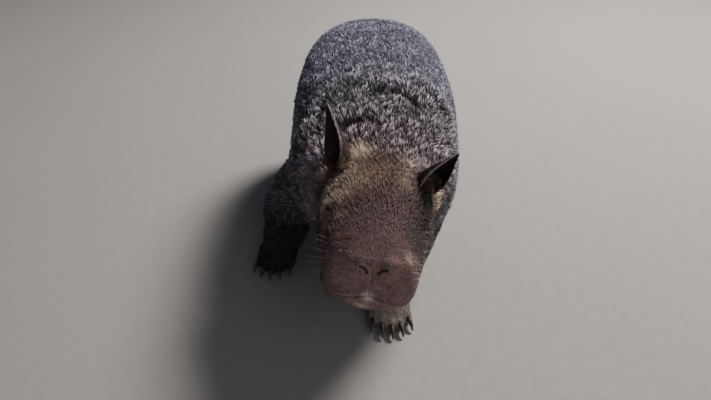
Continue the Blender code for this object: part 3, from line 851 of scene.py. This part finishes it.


# Markings, with painted shade, painted light and painted sky reflection among them, the same for skin and
# coat

# Patches of another colour on the head. Each row is a place in the head's frame and a size, in millimetres,
# and a strength.
PATCHES = {
    "pale": [
        (-32, -14, 50, 15, 1.0),
        (-45, -58, 46, 17, 0.34),
        (-38, -86, 45, 18, 0.24),
        (-48, -108, 36, 16, 0.26),
        (31, -28, 49, 10, 0.32),
        (31, -52, 47, 9, 0.26),
        (30, -80, 46, 10, 0.18),
        # The next four patches, on the right side of the head, are painted light: they lighten the side that
        # turns away from the key light
        (-58, -70, 34, 18, 0.5),
        (-70, -76, 14, 18, 0.74),
        (-66, -106, 12, 18, 0.66),
        (-60, -134, 8, 15, 0.4),
        (80, -29, 9, 13, 1.0),
        (79, -36, -6, 12, 0.8),
        (-78, -30, 10, 11, 0.5),
        (-50, -142, 22, 11, 0.26),
        (-8, -204, -53, 8, 0.6),
        (39, -196, 18, 6, 0.4),
    ],
    "rust": [(31, -202, 14, 7, 0.4), (23, -208, -6, 9, 0.28), (3, -208, -4, 6, 0.3)],
    "rose": [(0, -207, -34, 6.5, 1.0)],
    "silver": [
        (46, -22, 50, 14, 0.55),
        (62, -18, 40, 14, 0.55),
        # The last three patches, on the right side of the neck, are painted light on fur that the key light
        # leaves in shade
        (-102, 20, 2, 30, 0.72),
        (-92, -18, -24, 24, 0.7),
        (-92, 10, -70, 24, 0.48),
    ],
}
# How much darker the cup of each ear is than its back, as painted shade inside the cup, and how much paler
# its foot is than its tip
EAR_CUP_SHADE_AND_FOOT = {"left": (0.55, 0.0), "right": (0.38, 0.7)}
# A dark spot before the root of the left ear, partly dark fur and partly painted shadow under the ear, in the
# head's frame: its place and radii
EAR_ROOT_DARK_AND_SHADOW = ((0.069, -0.046, 0.008), (0.013, 0.014, 0.02))


def ear_rim(points, matrix, side):
    """1 on one edge of the ear's blade, at +X or -X of its frame."""
    line = []
    for height, wide, deep, wrap in EAR_PROFILE:
        turn = side * math.radians(wrap)
        across = wide * EAR_HALF_WIDTH * math.sin(turn)
        deep = deep * EAR_HALF_WIDTH * (math.cos(turn) - 0.35) + EAR_BEND * height**2
        line.append(matrix @ Vector((across, deep, height * EAR_LENGTH)))
    return fall(near_line(points, line)[0], 0.0012, 0.0042)


def ear_dark_and_cup_shade(points, normals, name):
    """How dark one ear is: more inside its cup, where the extra darkness is painted shade, and less at its
    foot.
    """
    matrix, (depth, paler) = EARS[name], EAR_CUP_SHADE_AND_FOOT[name]
    spot = local(points, matrix)
    outward = unit(spot * np.array([1.0, 1.0, 0.0]))
    inside = rise(-np.sum(outward * (normals @ turn_of(matrix)), axis=1), -0.1, 0.3)
    near = np.linalg.norm(spot, axis=1) < 0.1
    return (1 - paler * fall(spot[:, 2], 0.006, 0.04)) * near * (0.45 + depth * inside)


def markings(points, normals):
    """How much each marking shows at each point."""
    place = local(points, HEAD)
    x, _, z = place.T
    ahead = forward_share(points)
    head, ears = on_head(points), on_ears(points)
    # The shade mark is a dark band down each side of the head: partly darker fur round the eyes and partly
    # painted shadow, wider on the left side where the left ear's shadow falls
    outer = np.where(x > 0, rise(x, 0.024, 0.044), 0.7 * rise(-x, 0.07, 0.084))
    behind = points[:, 1] - PLACED.y
    marks = {
        "face": rise(ahead, 0.0, 0.16) * rise(z, -0.085, -0.045) * head,
        "muzzle": rise(ahead + 3.0 * np.minimum(x + 0.01, 0.0), 0.38, 0.62),
        "front": rise(ahead, 0.7, 1.0) * fall(z, 0.006, 0.03),
        "shade": outer * rise(ahead, 0.22, 0.4) * fall(ahead, 0.8, 0.95) * head,
        "nape": fall(ahead, 0.02, 0.14) * rise(ahead, -0.42, -0.1) * rise(z, 0.01, 0.035),
        # warm is 1 over the neck, shoulders and low body; on the back and rump the coat keeps the blue of
        # painted sky reflection
        "warm": np.maximum(fall(behind, -0.1, 0.12), 0.9 * fall(points[:, 2], 0.15, 0.3)),
        # The fold mark is painted shade: it darkens the coat over the shoulder folds
        "fold": in_folds(points),
    }
    for name, patches in PATCHES.items():
        found = np.zeros(len(points))
        for *centre, size, strength in patches:
            distance = away(place, [value / 1000 for value in centre])
            found = np.maximum(found, strength * bell(distance, size / 1000))
        marks[name] = found * (1 - ears)
    # Painted light: the left forepaw is made paler and less dark than the other paws, as if lit, though all
    # paws have one colour
    painted_lit_paw = fall(away(points, FORE_PAWS["left"].translation), 0.07, 0.12)
    marks["pale"] = np.maximum(marks["pale"], 0.3 * painted_lit_paw * fall(points[:, 2], 0.01, 0.1))
    paws, legs = (0.82 - 0.72 * painted_lit_paw) * on_paws(points), (0.7 - 0.5 * painted_lit_paw) * on_legs(points)
    # Partly painted shadow, partly dark fur: the dark spot under the root of the left ear
    centre, radii = EAR_ROOT_DARK_AND_SHADOW
    spot = 0.88 * bell(np.linalg.norm((place - np.array(centre)) / np.array(radii), axis=1), 1.0)
    dark = np.maximum(np.maximum(paws, legs) * (1 - ears), spot)
    for side, (name, matrix) in zip((-1, 1), EARS.items()):
        # Painted shade: the cup of each ear is darker than its back
        dark = np.maximum(dark, ears * ear_dark_and_cup_shade(points, normals, name))
        marks["silver"] = np.maximum(marks["silver"], 0.75 * ears * ear_rim(points, matrix, side))
    marks["dark"] = dark
    return marks


def in_folds(points):
    """1 a little ahead of the shoulder folds, where the hair grows that lies over them. There the coat is
    painted darker, as shade in the folds.
    """
    found = np.zeros(len(points))
    flat = (points - np.array(PLACED))[:, :2] + np.array([0.0, 0.011])
    for strength, line in SHOULDER_FOLDS:
        distance, share = near_line(flat, fold_line(line))
        found = np.maximum(found, min(1.0, strength) * bell(distance, 0.01) * tapered(share))
    return found * rise(points[:, 2], 0.2, 0.26)


def add_values(mesh, values):
    for name, numbers in values.items():
        made = mesh.attributes.new(name, "FLOAT", "POINT")
        made.data.foreach_set("value", numbers.astype(np.float32))


# Materials


class Nodes:
    """A short way to build a material's node tree."""

    def __init__(self, name):
        self.material = bpy.data.materials.new(name)
        self.material.use_nodes = True
        self.tree = self.material.node_tree

    def add(self, kind, inputs, output=0, **settings):
        """One output of a new node, whose inputs get the given numbers, colours or links."""
        node = self.tree.nodes.new("ShaderNode" + kind)
        for key, value in settings.items():
            setattr(node, key, value)
        self.put(node, inputs)
        return node.outputs[output]

    def put(self, node, inputs):
        for key, value in inputs.items():
            socket = node.inputs[key]
            if isinstance(value, bpy.types.NodeSocket):
                self.tree.links.new(value, socket)
            else:
                socket.default_value = (*value, 1.0) if socket.type == "RGBA" else value

    def value(self, name):
        return self.add("Attribute", {}, "Fac", attribute_name=name)

    def noise(self, scale, detail=2.0, stretch=(1.0, 1.0, 1.0), roughness=0.5):
        where = self.add("TexCoord", {}, "Object")
        mapped = self.add("Mapping", {"Vector": where, "Scale": stretch})
        inputs = {"Vector": mapped, "Scale": scale, "Detail": detail, "Roughness": roughness}
        return self.add("TexNoise", inputs, "Fac")

    def times(self, a, b):
        return self.add("Math", {0: a, 1: b}, operation="MULTIPLY")

    def span(self, *numbers):
        """A value between a low and a high one, from 0 to 1 or between two more numbers."""
        return self.add("MapRange", dict(enumerate(numbers)), clamp=True)

    def mix(self, share, a, b, blend="MIX"):
        return self.add("Mix", {0: share, 6: a, 7: b}, 2, data_type="RGBA", blend_type=blend)

    def finish(self, colour, roughness, bump=None, **fixed):
        """The material. bump is a height, its strength and its distance."""
        inputs = {"Base Color": colour, "Roughness": roughness}
        inputs.update({key.replace("_", " "): value for key, value in fixed.items()})
        if bump:
            inputs["Normal"] = self.add("Bump", dict(zip(("Height", "Strength", "Distance"), bump)))
        self.put(self.tree.nodes["Principled BSDF"], inputs)
        return self.material


def coat_colour(nodes, tip, chance):
    """The colours of the coat from root to tip, with each tuft a little different."""
    value, mix, span, times = nodes.value, nodes.mix, nodes.span, nodes.times
    light = times(tip, span(chance, 0.42, 0.72, 0.1, 1.0))
    warm, nape = value("warm"), times(value("nape"), 0.6)
    # The blue of the grey is painted sky reflection; warm takes it off the neck, shoulders and low body
    grey = mix(nape, mix(span(tip, 0.0, 0.55), UNDERFUR, mix(warm, GREY_AND_SKY_REFLECTION, WARM)), MAUVE)
    tips = mix(nape, mix(warm, GREY_TIP_AND_SKY_REFLECTION, WARM_TIP), MAUVE_TIP)
    grey = mix(span(light, 0.35, 1.0, 0.0, 0.9), grey, tips)
    tan = mix(span(light, 0.45, 1.0, 0.0, 0.6), TAN, TAN_TIP)
    mauve = mix(value("front"), MAUVE, PALE_MAUVE)
    tone = mix(span(tip, 0.0, 0.7, 0.6, 0.0), mix(value("muzzle"), tan, mauve), BROWN_UNDERFUR)
    colour = mix(value("face"), grey, tone)
    # Painted shadow, partly darker fur: the shade mark darkens the sides of the head towards dark brown
    colour = mix(times(value("shade"), 0.88), colour, DARK_FUR_AND_SHADOW_BROWN)
    colour = mix(value("dark"), colour, DARK)
    up = span(tip, 0.0, 0.4, 0.4, 1.0)
    for name, tint in (("pale", BLOND_AND_PAINTED_LIGHT), ("rust", RUST), ("rose", ROSE), ("silver", SILVER_AND_PAINTED_LIGHT)):
        colour = mix(times(value(name), up), colour, tint)
    shade = span(nodes.noise(9.0, 3.0), 0.3, 0.7, 0.84, 1.12)
    for change in (
        (nodes.noise(70.0, 2.0), 0.3, 0.7, 0.75, 1.22),
        (chance, 0.0, 1.0, 0.35, 1.6),
        # Painted shade: the fold mark darkens the coat in the shoulder folds
        (value("fold"), 0.05, 0.75, 1.0, 0.12),
    ):
        shade = times(shade, span(*change))
    return mix(1.0, colour, nodes.add("CombineColor", {0: shade, 1: shade, 2: shade}), "MULTIPLY")


def coat_material():
    nodes = Nodes("coat")
    colour = coat_colour(nodes, nodes.value("tip"), nodes.value("chance"))
    rough = nodes.span(nodes.noise(40.0), 0.3, 0.7, 0.5, 0.68)
    sheen = {"Sheen_Weight": 0.13, "Sheen_Roughness": 0.45, "Sheen_Tint": (0.88, 0.88, 1.0)}
    return nodes.finish(colour, rough, Specular_IOR_Level=0.3, **sheen)


def skin_material():
    nodes = Nodes("skin")
    strands = nodes.noise(260.0, 4.0, (4.0, 0.7, 4.0), 0.65)
    pores = nodes.noise(1400.0, 2.0)
    colour = coat_colour(nodes, nodes.span(strands, 0.35, 0.65, 0.15, 0.75), nodes.span(pores, 0.3, 0.7))
    moist = nodes.value("moist")
    rough = nodes.span(moist, 0.0, 1.0, 0.72, 0.28)
    colour = nodes.mix(nodes.times(moist, 0.7), colour, MOIST_SKIN)
    height = nodes.add("Math", {0: strands, 1: nodes.times(pores, 0.35)}, operation="ADD")
    return nodes.finish(colour, rough, (height, 0.55, 0.0012), Specular_IOR_Level=0.4)


def streaked(nodes, base, streak, noise, cut, rough, bump=None, **fixed):
    """A material of a base colour with streaks of another one, which its roughness follows."""
    grain = nodes.noise(*noise)
    colour = nodes.mix(nodes.span(grain, *cut), base, streak)
    return nodes.finish(colour, nodes.span(grain, 0.3, 0.7, *rough), bump and (grain, *bump), **fixed)


def eye_material():
    nodes = Nodes("eye")
    base = nodes.mix(nodes.value("iris"), PUPIL, EYE_BROWN)
    wet = {"Coat_Weight": 0.25, "Coat_Roughness": 0.06, "Specular_IOR_Level": 0.35}
    return streaked(nodes, base, EYE_STREAK, (900.0, 3.0), (0.4, 0.7, 0.0, 0.5), (0.1, 0.18), **wet)


def claw_material():
    nodes = Nodes("horn")
    base = nodes.mix(nodes.value("tip"), HORN, HORN_TIP)
    noise, cut = (420.0, 4.0, (1.0, 0.25, 1.0)), (0.35, 0.65, 0.0, 0.6)
    return streaked(nodes, base, HORN_GRAIN, noise, cut, (0.34, 0.58), (0.35, 0.0006), Specular_IOR_Level=0.5)


def whisker_material():
    nodes = Nodes("whisker")
    return streaked(nodes, WHISKER, WHISKER_GRAIN, (60.0, 2.0), (0.35, 0.65), (0.3, 0.45))


def floor_material():
    nodes = Nodes("floor")
    base = nodes.mix(nodes.span(nodes.noise(3.0, 3.0), 0.3, 0.7, 0.0, 0.25), FLOOR, FLOOR_BROAD)
    return streaked(nodes, base, FLOOR_FINE, (60.0, 4.0), (0.4, 0.6, 0.0, 0.12), (0.8, 0.92), (0.1, 0.002))


# The coat


def blend(way, other, share):
    return way * (1 - share[:, None]) + share[:, None] * other


def lie(points, normals):
    """The way the hair points: from nose to tail, down the flanks and legs, and up the ears."""
    ones = np.ones(len(points))
    flank = 1 - np.clip(normals[:, 2], 0.0, 1.0)
    way = np.stack([0.25 * np.sign(points[:, 0] - PLACED.x) * flank, ones, -0.75 * flank], axis=1)
    way = blend(way, np.array([0.0, 0.3, -1.0]), on_legs(points))
    way = blend(way, np.array([0.0, -1.0, -0.45]), on_paws(points))
    across = 0.5 * np.clip(local(points, HEAD)[:, 0] / 0.05, -1, 1)
    out = np.stack([across, ones, -0.35 * flank], axis=1)
    way = blend(way, out @ turn_of(HEAD).T, on_head(points))
    for matrix in EARS.values():
        height, reach = along_ear(points, matrix)
        blade = rise(height, 0.0, 0.014) * fall(reach, 0.024, 0.032)
        way = blend(way, turn_of(matrix)[:, 2], blade)
    way = way + drift(points)
    way -= normals * np.sum(way * normals, axis=1, keepdims=True)
    return unit(way)


def drift(points):
    """Slow waves in the lie, so that the coat isn't combed dead straight."""
    x, y, z = (points * 60.0).T
    waves = [np.sin(y + 1.7 * z) + np.sin(1.9 * y - x), np.sin(1.3 * x + z), np.sin(1.6 * x + 1.2 * y)]
    return 0.16 * np.stack(waves, axis=1)


def scatter(mesh, density):
    """Places spread evenly over the mesh, with the normals there. density is how many a square metre."""
    corners = corners_of(mesh)
    points, normals = read(mesh), read(mesh, "normal")
    a, b, c = (points[corners[:, k]] for k in range(3))
    area = np.linalg.norm(np.cross(b - a, c - a), axis=1) / 2
    wanted = np.cumsum(area * density[corners].mean(axis=1))
    count = int(wanted[-1])
    picked = np.searchsorted(wanted, np.arange(count) + random.uniform(0, 1, count))
    corners = corners[np.minimum(picked, len(corners) - 1)]
    u, v = random.uniform(0, 1, count), random.uniform(0, 1, count)
    over = u + v > 1
    u[over], v[over] = 1 - u[over], 1 - v[over]
    share = np.stack([u, v, 1 - u - v], axis=1)[:, :, None]
    return (points[corners] * share).sum(axis=1), unit((normals[corners] * share).sum(axis=1))


def coat_plan(points):
    """Tufts a square metre, and their length, width and lift in degrees, at each point."""
    head, ahead = on_head(points), forward_share(points)
    plan = np.tile((192000.0, 0.015, 0.00116, 20.0), (len(points), 1))
    for share, values in (
        (on_legs(points), (185000.0, 0.0115, 0.00112, 20.0)),
        (rise(ahead, -0.02, 0.25) * head, (230000.0, 0.0115, 0.00105, 18.0)),
        (rise(ahead, 0.55, 0.95) * head, (470000.0, 0.0042, 0.0006, 17.0)),
        (on_paws(points), (310000.0, 0.005, 0.00075, 16.0)),
        (on_ears(points), (420000.0, 0.005, 0.00065, 14.0)),
    ):
        plan += (np.array(values) - plan) * share[:, None]
    return plan


def from_openings(points):
    """How far each point is from a nostril's line, a lid's edge and the line of the lips, or FAR."""
    ahead = forward_share(points)
    nostril = np.where(ahead > 0.9, from_nostrils(points), FAR)
    lid = np.minimum(*(lid_edge(points, matrix, 3) for matrix in EYES.values()))
    turn, above = from_mouth(points)
    mouth = np.where((turn < math.radians(72)) & (ahead > 0.66), np.abs(above), FAR)
    return nostril, lid, mouth


def bare(points):
    """1 where no tuft grows: soles, nostrils, eye openings and the line of the mouth."""
    nostril, lid, mouth = from_openings(points)
    found = np.maximum(fall(points[:, 2], 0.002, 0.007), fall(nostril, 0.0026, 0.0036))
    return np.maximum(found, (lid < 1.25) | (mouth < 0.0016))


def moisture(points):
    """1 in the nostrils, and less on the lid edges and in the line of the mouth."""
    nostril, lid, mouth = from_openings(points)
    found = np.maximum(fall(nostril, 0.0012, 0.0026), 0.45 * fall(lid, 1.05, 1.3))
    return np.maximum(found, 0.6 * fall(mouth, 0.0008, 0.0018))


LOCK = 5
ROOT_SUNK = 0.0006
MAP_MARGIN = 0.004
MAP_TUFT = 0.0015


def locks_of(roots):
    """The tuft in the middle of each tuft's lock, which is LOCK neighbours or so."""
    count = max(1, len(roots) // LOCK)
    chosen = random.choice(len(roots), count, replace=False)
    tree = KDTree(count)
    for i, index in enumerate(chosen):
        tree.insert(roots[index], i)
    tree.balance()
    return chosen[[tree.find(root)[1] for root in roots]]


def strands(roots, normals, ways, length, lift, heads):
    """The base, middle and tip of each tuft. A lock's tips are drawn towards that of its middle tuft."""
    side = unit(np.cross(normals, ways))
    steep, flat = np.radians(lift * 1.55), np.radians(lift * 0.45)
    first = ways * np.cos(steep)[:, None] + normals * np.sin(steep)[:, None]
    second = ways * np.cos(flat)[:, None] + normals * np.sin(flat)[:, None]
    second = unit(second + side * random.normal(0, 0.1, len(roots))[:, None])
    base = roots - normals * ROOT_SUNK
    middle = base + first * (0.48 * length)[:, None]
    tip = middle + second * (0.52 * length)[:, None]
    drawn = rise(length, 0.005, 0.012)[:, None]
    tip += (tip[heads] - tip) * 0.4 * drawn
    middle += (middle[heads] - middle) * 0.1 * drawn
    return base, middle, tip


# A tuft is a curved three-sided spike with a closed root: three points at its base, three at its middle and
# one at its tip.
TUFT_POINTS = 7
TUFT_FACES = [(0, 2, 1), (0, 1, 4), (0, 4, 3), (1, 2, 5), (1, 5, 4), (2, 0, 3), (2, 3, 5)]
TUFT_FACES += [(3, 4, 6), (4, 5, 6), (5, 3, 6)]
TUFT_ALONG = [0, 0, 0, 0.5, 0.5, 0.5, 1.0]
TUFT_ACROSS = [-1, 1, 0, -0.8, 0.8, 0, 0]


def tuft_mesh(name, coat, values, patch):
    """One mesh of many tufts, with the places of patch on the map for baking."""
    count = len(patch)
    rings = []
    for centre, share in ((coat["base"], 1.0), (coat["middle"], 0.78)):
        half = (coat["width"] * share / 2)[:, None]
        across = coat["side"] * half
        rings += [centre - across, centre + across, centre + coat["normal"] * half * 0.9]
    places = np.stack([*rings, coat["tip"]], axis=1)
    places[:, :, 2] = np.maximum(places[:, :, 2], 0.0004)
    corners = (np.array(TUFT_FACES) + TUFT_POINTS * np.arange(count)[:, None, None]).reshape(-1, 3)
    mesh = bpy.data.meshes.new(name)
    mesh.from_pydata(places.reshape(-1, 3).tolist(), [], corners.tolist())
    mesh.shade_smooth()
    add_values(mesh, {key: np.repeat(numbers, TUFT_POINTS) for key, numbers in values.items()})
    along, across = np.tile(TUFT_ALONG, count), np.tile(TUFT_ACROSS, count)
    add_values(mesh, {"tip": along})
    map_at = np.repeat(patch, TUFT_POINTS, axis=0) + MAP_TUFT * np.stack([across, 2 * along - 1], axis=1)
    layer = mesh.uv_layers.new(name="OFBake")
    layer.data.foreach_set("uv", np.clip(map_at[corners.ravel()], 0, 1).astype(np.float32).ravel())
    return linked(name, mesh)


def unrolled(points, matrix):
    """Places on a map of the skin in a unit square, unrolled round the Y axis of the matrix."""
    x, y, z = local(points, matrix).T
    flat = np.stack([np.arctan2(x, z) / (2 * math.pi) + 0.5, y], axis=1)
    low, high = flat.min(axis=0), flat.max(axis=0)
    return MAP_MARGIN + (1 - 2 * MAP_MARGIN) * ((flat - low) / np.maximum(high - low, 1e-6))


# Pieces of the coat on the trunk, and where the cuts between them lie along Y
TRUNK = ("neck", "shoulder", "ribs", "back", "loin", "haunch", "rump")
CUTS = (-1.0, -0.08, -0.005, 0.07, 0.145, 0.22, 0.295, 1.0)


def regions(points):
    """The coat piece of each root, and the frame to unroll each piece in."""
    names = np.full(len(points), "", dtype=object)
    frames = {}

    def claim(label, way, here, frame):
        name = f"coat_{label}_{way}"
        names[here] = name
        frames[name] = frame

    left = points[:, 0] >= PLACED.x
    sides = {"left": left, "right": ~left}
    place = local(points, HEAD)
    head = (place[:, 1] < 0.0) & (place[:, 2] > -0.095)
    cheek = head & (forward_share(points) < 0.45)
    spine = Matrix.Translation((PLACED.x, 0.1, 0.19))
    for label, low, high in zip(TRUNK, CUTS, CUTS[1:]):
        for way, side in sides.items():
            claim(label, way, side & (points[:, 1] >= low) & (points[:, 1] < high), spine)
    for label, paws in (("foreleg", FORE_PAWS), ("hindleg", HIND_PAWS)):
        for way, paw in paws.items():
            near = np.hypot(*(points - np.array(paw.translation))[:, :2].T) < 0.105
            shank = paw @ Matrix.Translation((0, 0, 0.03)) @ turned(pitch=90)
            claim(label, way, near & (points[:, 2] < 0.1) & ~head, shank)
    for way, side in sides.items():
        claim("cheek", way, cheek & side, HEAD)
        claim("muzzle", way, head & ~cheek & side, HEAD)
    for way, matrix in EARS.items():
        height, reach = along_ear(points, matrix)
        claim("ear", way, (height > 0.01) & (reach < 0.03), matrix @ turned(pitch=90))
    return names, frames


def ruffled(points):
    """1 over the shoulders and the nape, where the loose skin ruffles the coat."""
    behind = points[:, 1] - PLACED.y
    return rise(behind, -0.2, -0.13) * fall(behind, -0.05, 0.0) * rise(points[:, 2], 0.17, 0.24)


def grow_coat(hide):
    """All the tufts of the coat, in pieces by region."""
    everywhere = read(hide.data)
    density = coat_plan(everywhere)[:, 0] * (1 - bare(everywhere))
    roots, normals = scatter(hide.data, density)
    count = len(roots)
    plan = coat_plan(roots)
    heads = locks_of(roots)
    turn, rise_up, tone, own = random.normal(0, 1, (4, count))
    rough = ruffled(roots)
    ways = lie(roots, normals)
    sideways = (0.13 + 0.22 * rough) * turn[heads] + 0.09 * own
    ways = unit(ways + unit(np.cross(normals, ways)) * sideways[:, None])
    length = plan[:, 1] * random.uniform(0.7, 1.15, count) * (1 + 0.08 * tone[heads])
    length *= 1 - 0.4 * in_folds(roots)
    lift = plan[:, 3] * random.uniform(0.75, 1.25, count) * np.clip(1 + 0.18 * rise_up[heads], 0.5, 1.6)
    lift *= 1 + 0.35 * rough
    coat = dict(zip(("base", "middle", "tip"), strands(roots, normals, ways, length, lift, heads)))
    coat["normal"] = normals
    coat["side"] = unit(np.cross(normals, ways))
    coat["width"] = plan[:, 2] * random.uniform(0.75, 1.25, count)
    values = markings(roots, normals)
    spread = 0.17 + 0.07 * rough
    values["chance"] = np.clip(0.5 + spread * tone[heads] + spread * random.normal(0, 1, count), 0, 1)
    names, frames = regions(roots)
    pieces = []
    for name in sorted(set(names)):
        here = names == name
        picked, marks = ({key: numbers[here] for key, numbers in group.items()} for group in (coat, values))
        pieces.append(tuft_mesh(name, picked, marks, unrolled(roots[here], frames[name])))
    return pieces


# Eyes, claws and whiskers


def make_eye(name, matrix):
    """An eyeball whose clear front bulges a little over the dark iris."""
    eye = egg((0, 0, 0), (EYE_RADIUS,) * 3, None, "eye_" + name, 48)
    points = read(eye.data)
    out = points[:, 2] / EYE_RADIUS
    around = np.hypot(points[:, 0], points[:, 1]) / EYE_RADIUS
    add_values(eye.data, {"iris": rise(around, 0.3, 0.38) * fall(around, 0.62, 0.7) * (out > 0)})
    set_places(eye.data, points * (1 + 0.035 * rise(out, 0.55, 1.0))[:, None])
    eye.data.transform(matrix)
    eye.data.shade_smooth()
    return eye


def claw(frame, length):
    """A digging claw: deep, narrow, curved down and blunt at the tip."""
    sides = 14
    rows = [
        (0.0, 0.002, 0.0006, 0.003, 0.0042),
        (0.0, 0.0, 0.0005, 0.004, 0.0052),
        (0.0, -0.4 * length, 0.0022, 0.0036, 0.0046),
        (0.0, -0.75 * length, -0.0004, 0.0026, 0.0033),
        (0.0, -0.97 * length, -0.0056, 0.0012, 0.0016),
        (0.0, -1.0 * length, -0.0062, 0.0004, 0.0006),
    ]
    made = tube(rows, frame @ Matrix.Translation((0.0, -0.008, 0.0)), sides)
    tip = np.repeat(np.linspace(0, 1, len(made.data.vertices) // sides), sides)
    add_values(made.data, {"tip": tip})
    return made


def join(name, objects):
    """One object of several, with their values kept."""
    made = object_from(joined(objects), name)
    made.data.shade_smooth()
    return made


def make_claws(name, reach, side, paw, first, length):
    return join(name, [claw(toe, length) for toe in toe_frames(reach, side, paw)[first:]])


def whisker(root, way, droop, length, thickness):
    """One tapered hair that leaves the skin along way and droops towards its tip."""
    rows = []
    for t in (i / 6 for i in range(7)):
        place = root + way * (length * t - 0.002) + droop * (length * 0.16 * t * t)
        half = thickness * (1 - 0.85 * t)
        rows.append((*place, half, half))
    return tube(rows, None, 4, 1, way.cross(Vector((0.3, 0.1, 1.0))).normalized())


def whisker_plan(side):
    """The whiskers of one side: in rows on the muzzle, with a few over the eye and on the cheek.

    Each is a place on the head's middle plane, the way from there to the root, the way the hair grows, how
    far its droop leans back, its length and its thickness.
    """
    for row in range(5):
        for column in range(5):
            angle = math.radians(28 + 13 * column + random.uniform(-4, 4))
            height = 0.006 - 0.0088 * row + random.uniform(-0.002, 0.002)
            down = -0.12 - 0.1 * row + random.uniform(-0.1, 0.1)
            way = (side * (0.8 + 0.1 * column), 0.1 + 0.22 * column, down)
            length = 0.015 + 0.004 * column + random.uniform(-0.003, 0.005)
            yield 0.74, height, (side * math.sin(angle), -math.cos(angle), 0.0), way, 0, length, 0.00024
    for k in range(3):
        out = (side * 0.8, 0.0, 0.45 + 0.06 * k)
        yield 0.5 + 0.05 * k, 0.016, out, (side * 0.6, 0.3, 0.9), 0.6, 0.02 + 0.003 * k, 0.00022
    for k in range(9):
        row = k % 3
        out, way = (side, 0.0, 0.3 - 0.12 * row), (side * 0.9, 0.3, 0.16 - 0.05 * row)
        yield 0.6 + 0.028 * k, 0.004 - 0.004 * row, out, way, 0.3, 0.012 + 0.0015 * (k % 4), 0.00022
    for k in range(2):
        yield 0.44 - 0.06 * k, -0.03, (side, 0.0, 0.0), (side * 0.9, 0.5, -0.1), 0, 0.02, 0.00022


def make_whiskers(hide):
    tree = tree_of(hide)
    turn = HEAD.to_3x3()
    made = []
    for side in (-1, 1):
        for ahead, height, out, way, back, length, thickness in whisker_plan(side):
            start = HEAD @ Vector((0.0, -ahead * HEAD_LENGTH, height))
            root = tree.ray_cast(start, turn @ Vector(out))[0]
            way = (turn @ Vector(way)).normalized()
            made.append(whisker(root, way, Vector((0, back, -1)), length, thickness))
    return join("whiskers", made)


# Putting it together


def show(obj, material, slot, *nodes):
    obj.data.materials.clear()
    obj.data.materials.append(material)
    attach(obj, "root")
    if nodes:
        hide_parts(*nodes)


def slot_of(name):
    if "ear" in name:
        return "ear_dark"
    if "cheek" in name or "muzzle" in name:
        return "coat_brown"
    return "coat_grey"


def make_animal():
    hide = make_skin()
    points = read(hide.data)
    add_values(hide.data, markings(points, read(hide.data, "normal")))
    add_values(hide.data, {"moist": moisture(points)})
    hide.data.shade_smooth()
    flesh = [name for name in frame["nodes"] if not name.startswith("eye_")]
    coat = grow_coat(hide)
    whiskers = make_whiskers(hide)
    show(hide, skin_material(), "coat_grey", *flesh)
    look = coat_material()
    for piece in coat:
        show(piece, look, slot_of(piece.name))
    show(whiskers, whisker_material(), "coat_brown")
    wet = eye_material()
    for name, matrix in EYES.items():
        show(make_eye(name, matrix), wet, "eye_black", "eye_" + name)
    horn = claw_material()
    for way, side in SIDES.items():
        fore = make_claws("claws_fore_" + way, FORE_REACH, side, FORE_PAWS[way], 0, CLAW_LENGTH)
        hind = make_claws("claws_hind_" + way, HIND_REACH, side, HIND_PAWS[way], 1, 0.9 * CLAW_LENGTH)
        show(fore, horn, "paw_dark")
        show(hind, horn, "paw_dark")


def make_stage():
    """A plain pale floor, a soft key light from behind on the animal's left, a soft fill and a pale sky."""
    bm = bmesh.new()
    bmesh.ops.create_grid(bm, x_segments=8, y_segments=8, size=6.0)
    floor = object_from(bm, "floor")
    floor.data.materials.append(floor_material())
    lamp("key", (1.4, 1.4, 2.25), 0.8, 132.0, KEY_LIGHT)
    lamp("fill", (0.9, -2.1, 1.3), 1.6, 11.0, FILL_LIGHT)
    world = bpy.data.worlds.new("sky")
    world.use_nodes = True
    sky = world.node_tree.nodes["Background"]
    sky.inputs["Color"].default_value = SKY
    sky.inputs["Strength"].default_value = 0.1
    bpy.context.scene.world = world


def lamp(name, place, size, power, colour):
    """A square soft light that points at the animal."""
    data = bpy.data.lights.new(name, "AREA")
    data.size, data.energy, data.color = size, power, colour
    light = linked(name, data)
    light.location = place
    light.rotation_euler = (Vector((0.0, -0.05, 0.15)) - Vector(place)).to_track_quat("-Z", "Y").to_euler()


# The camera stands before the animal and looks down on it, as in the photo.
CAMERA_AT = (-0.011, -0.939, 0.7)
CAMERA_DOWN = 33.0
CAMERA_LENS, CAMERA_SENSOR = 32.405, 36.0


def make_camera():
    data = bpy.data.cameras.new("camera")
    data.lens, data.sensor_width = CAMERA_LENS, CAMERA_SENSOR
    camera = linked("camera", data)
    camera.location = CAMERA_AT
    camera.rotation_euler = (math.radians(90 - CAMERA_DOWN), 0.0, 0.0)
    bpy.context.scene.camera = camera


make_camera()
make_stage()
make_animal()
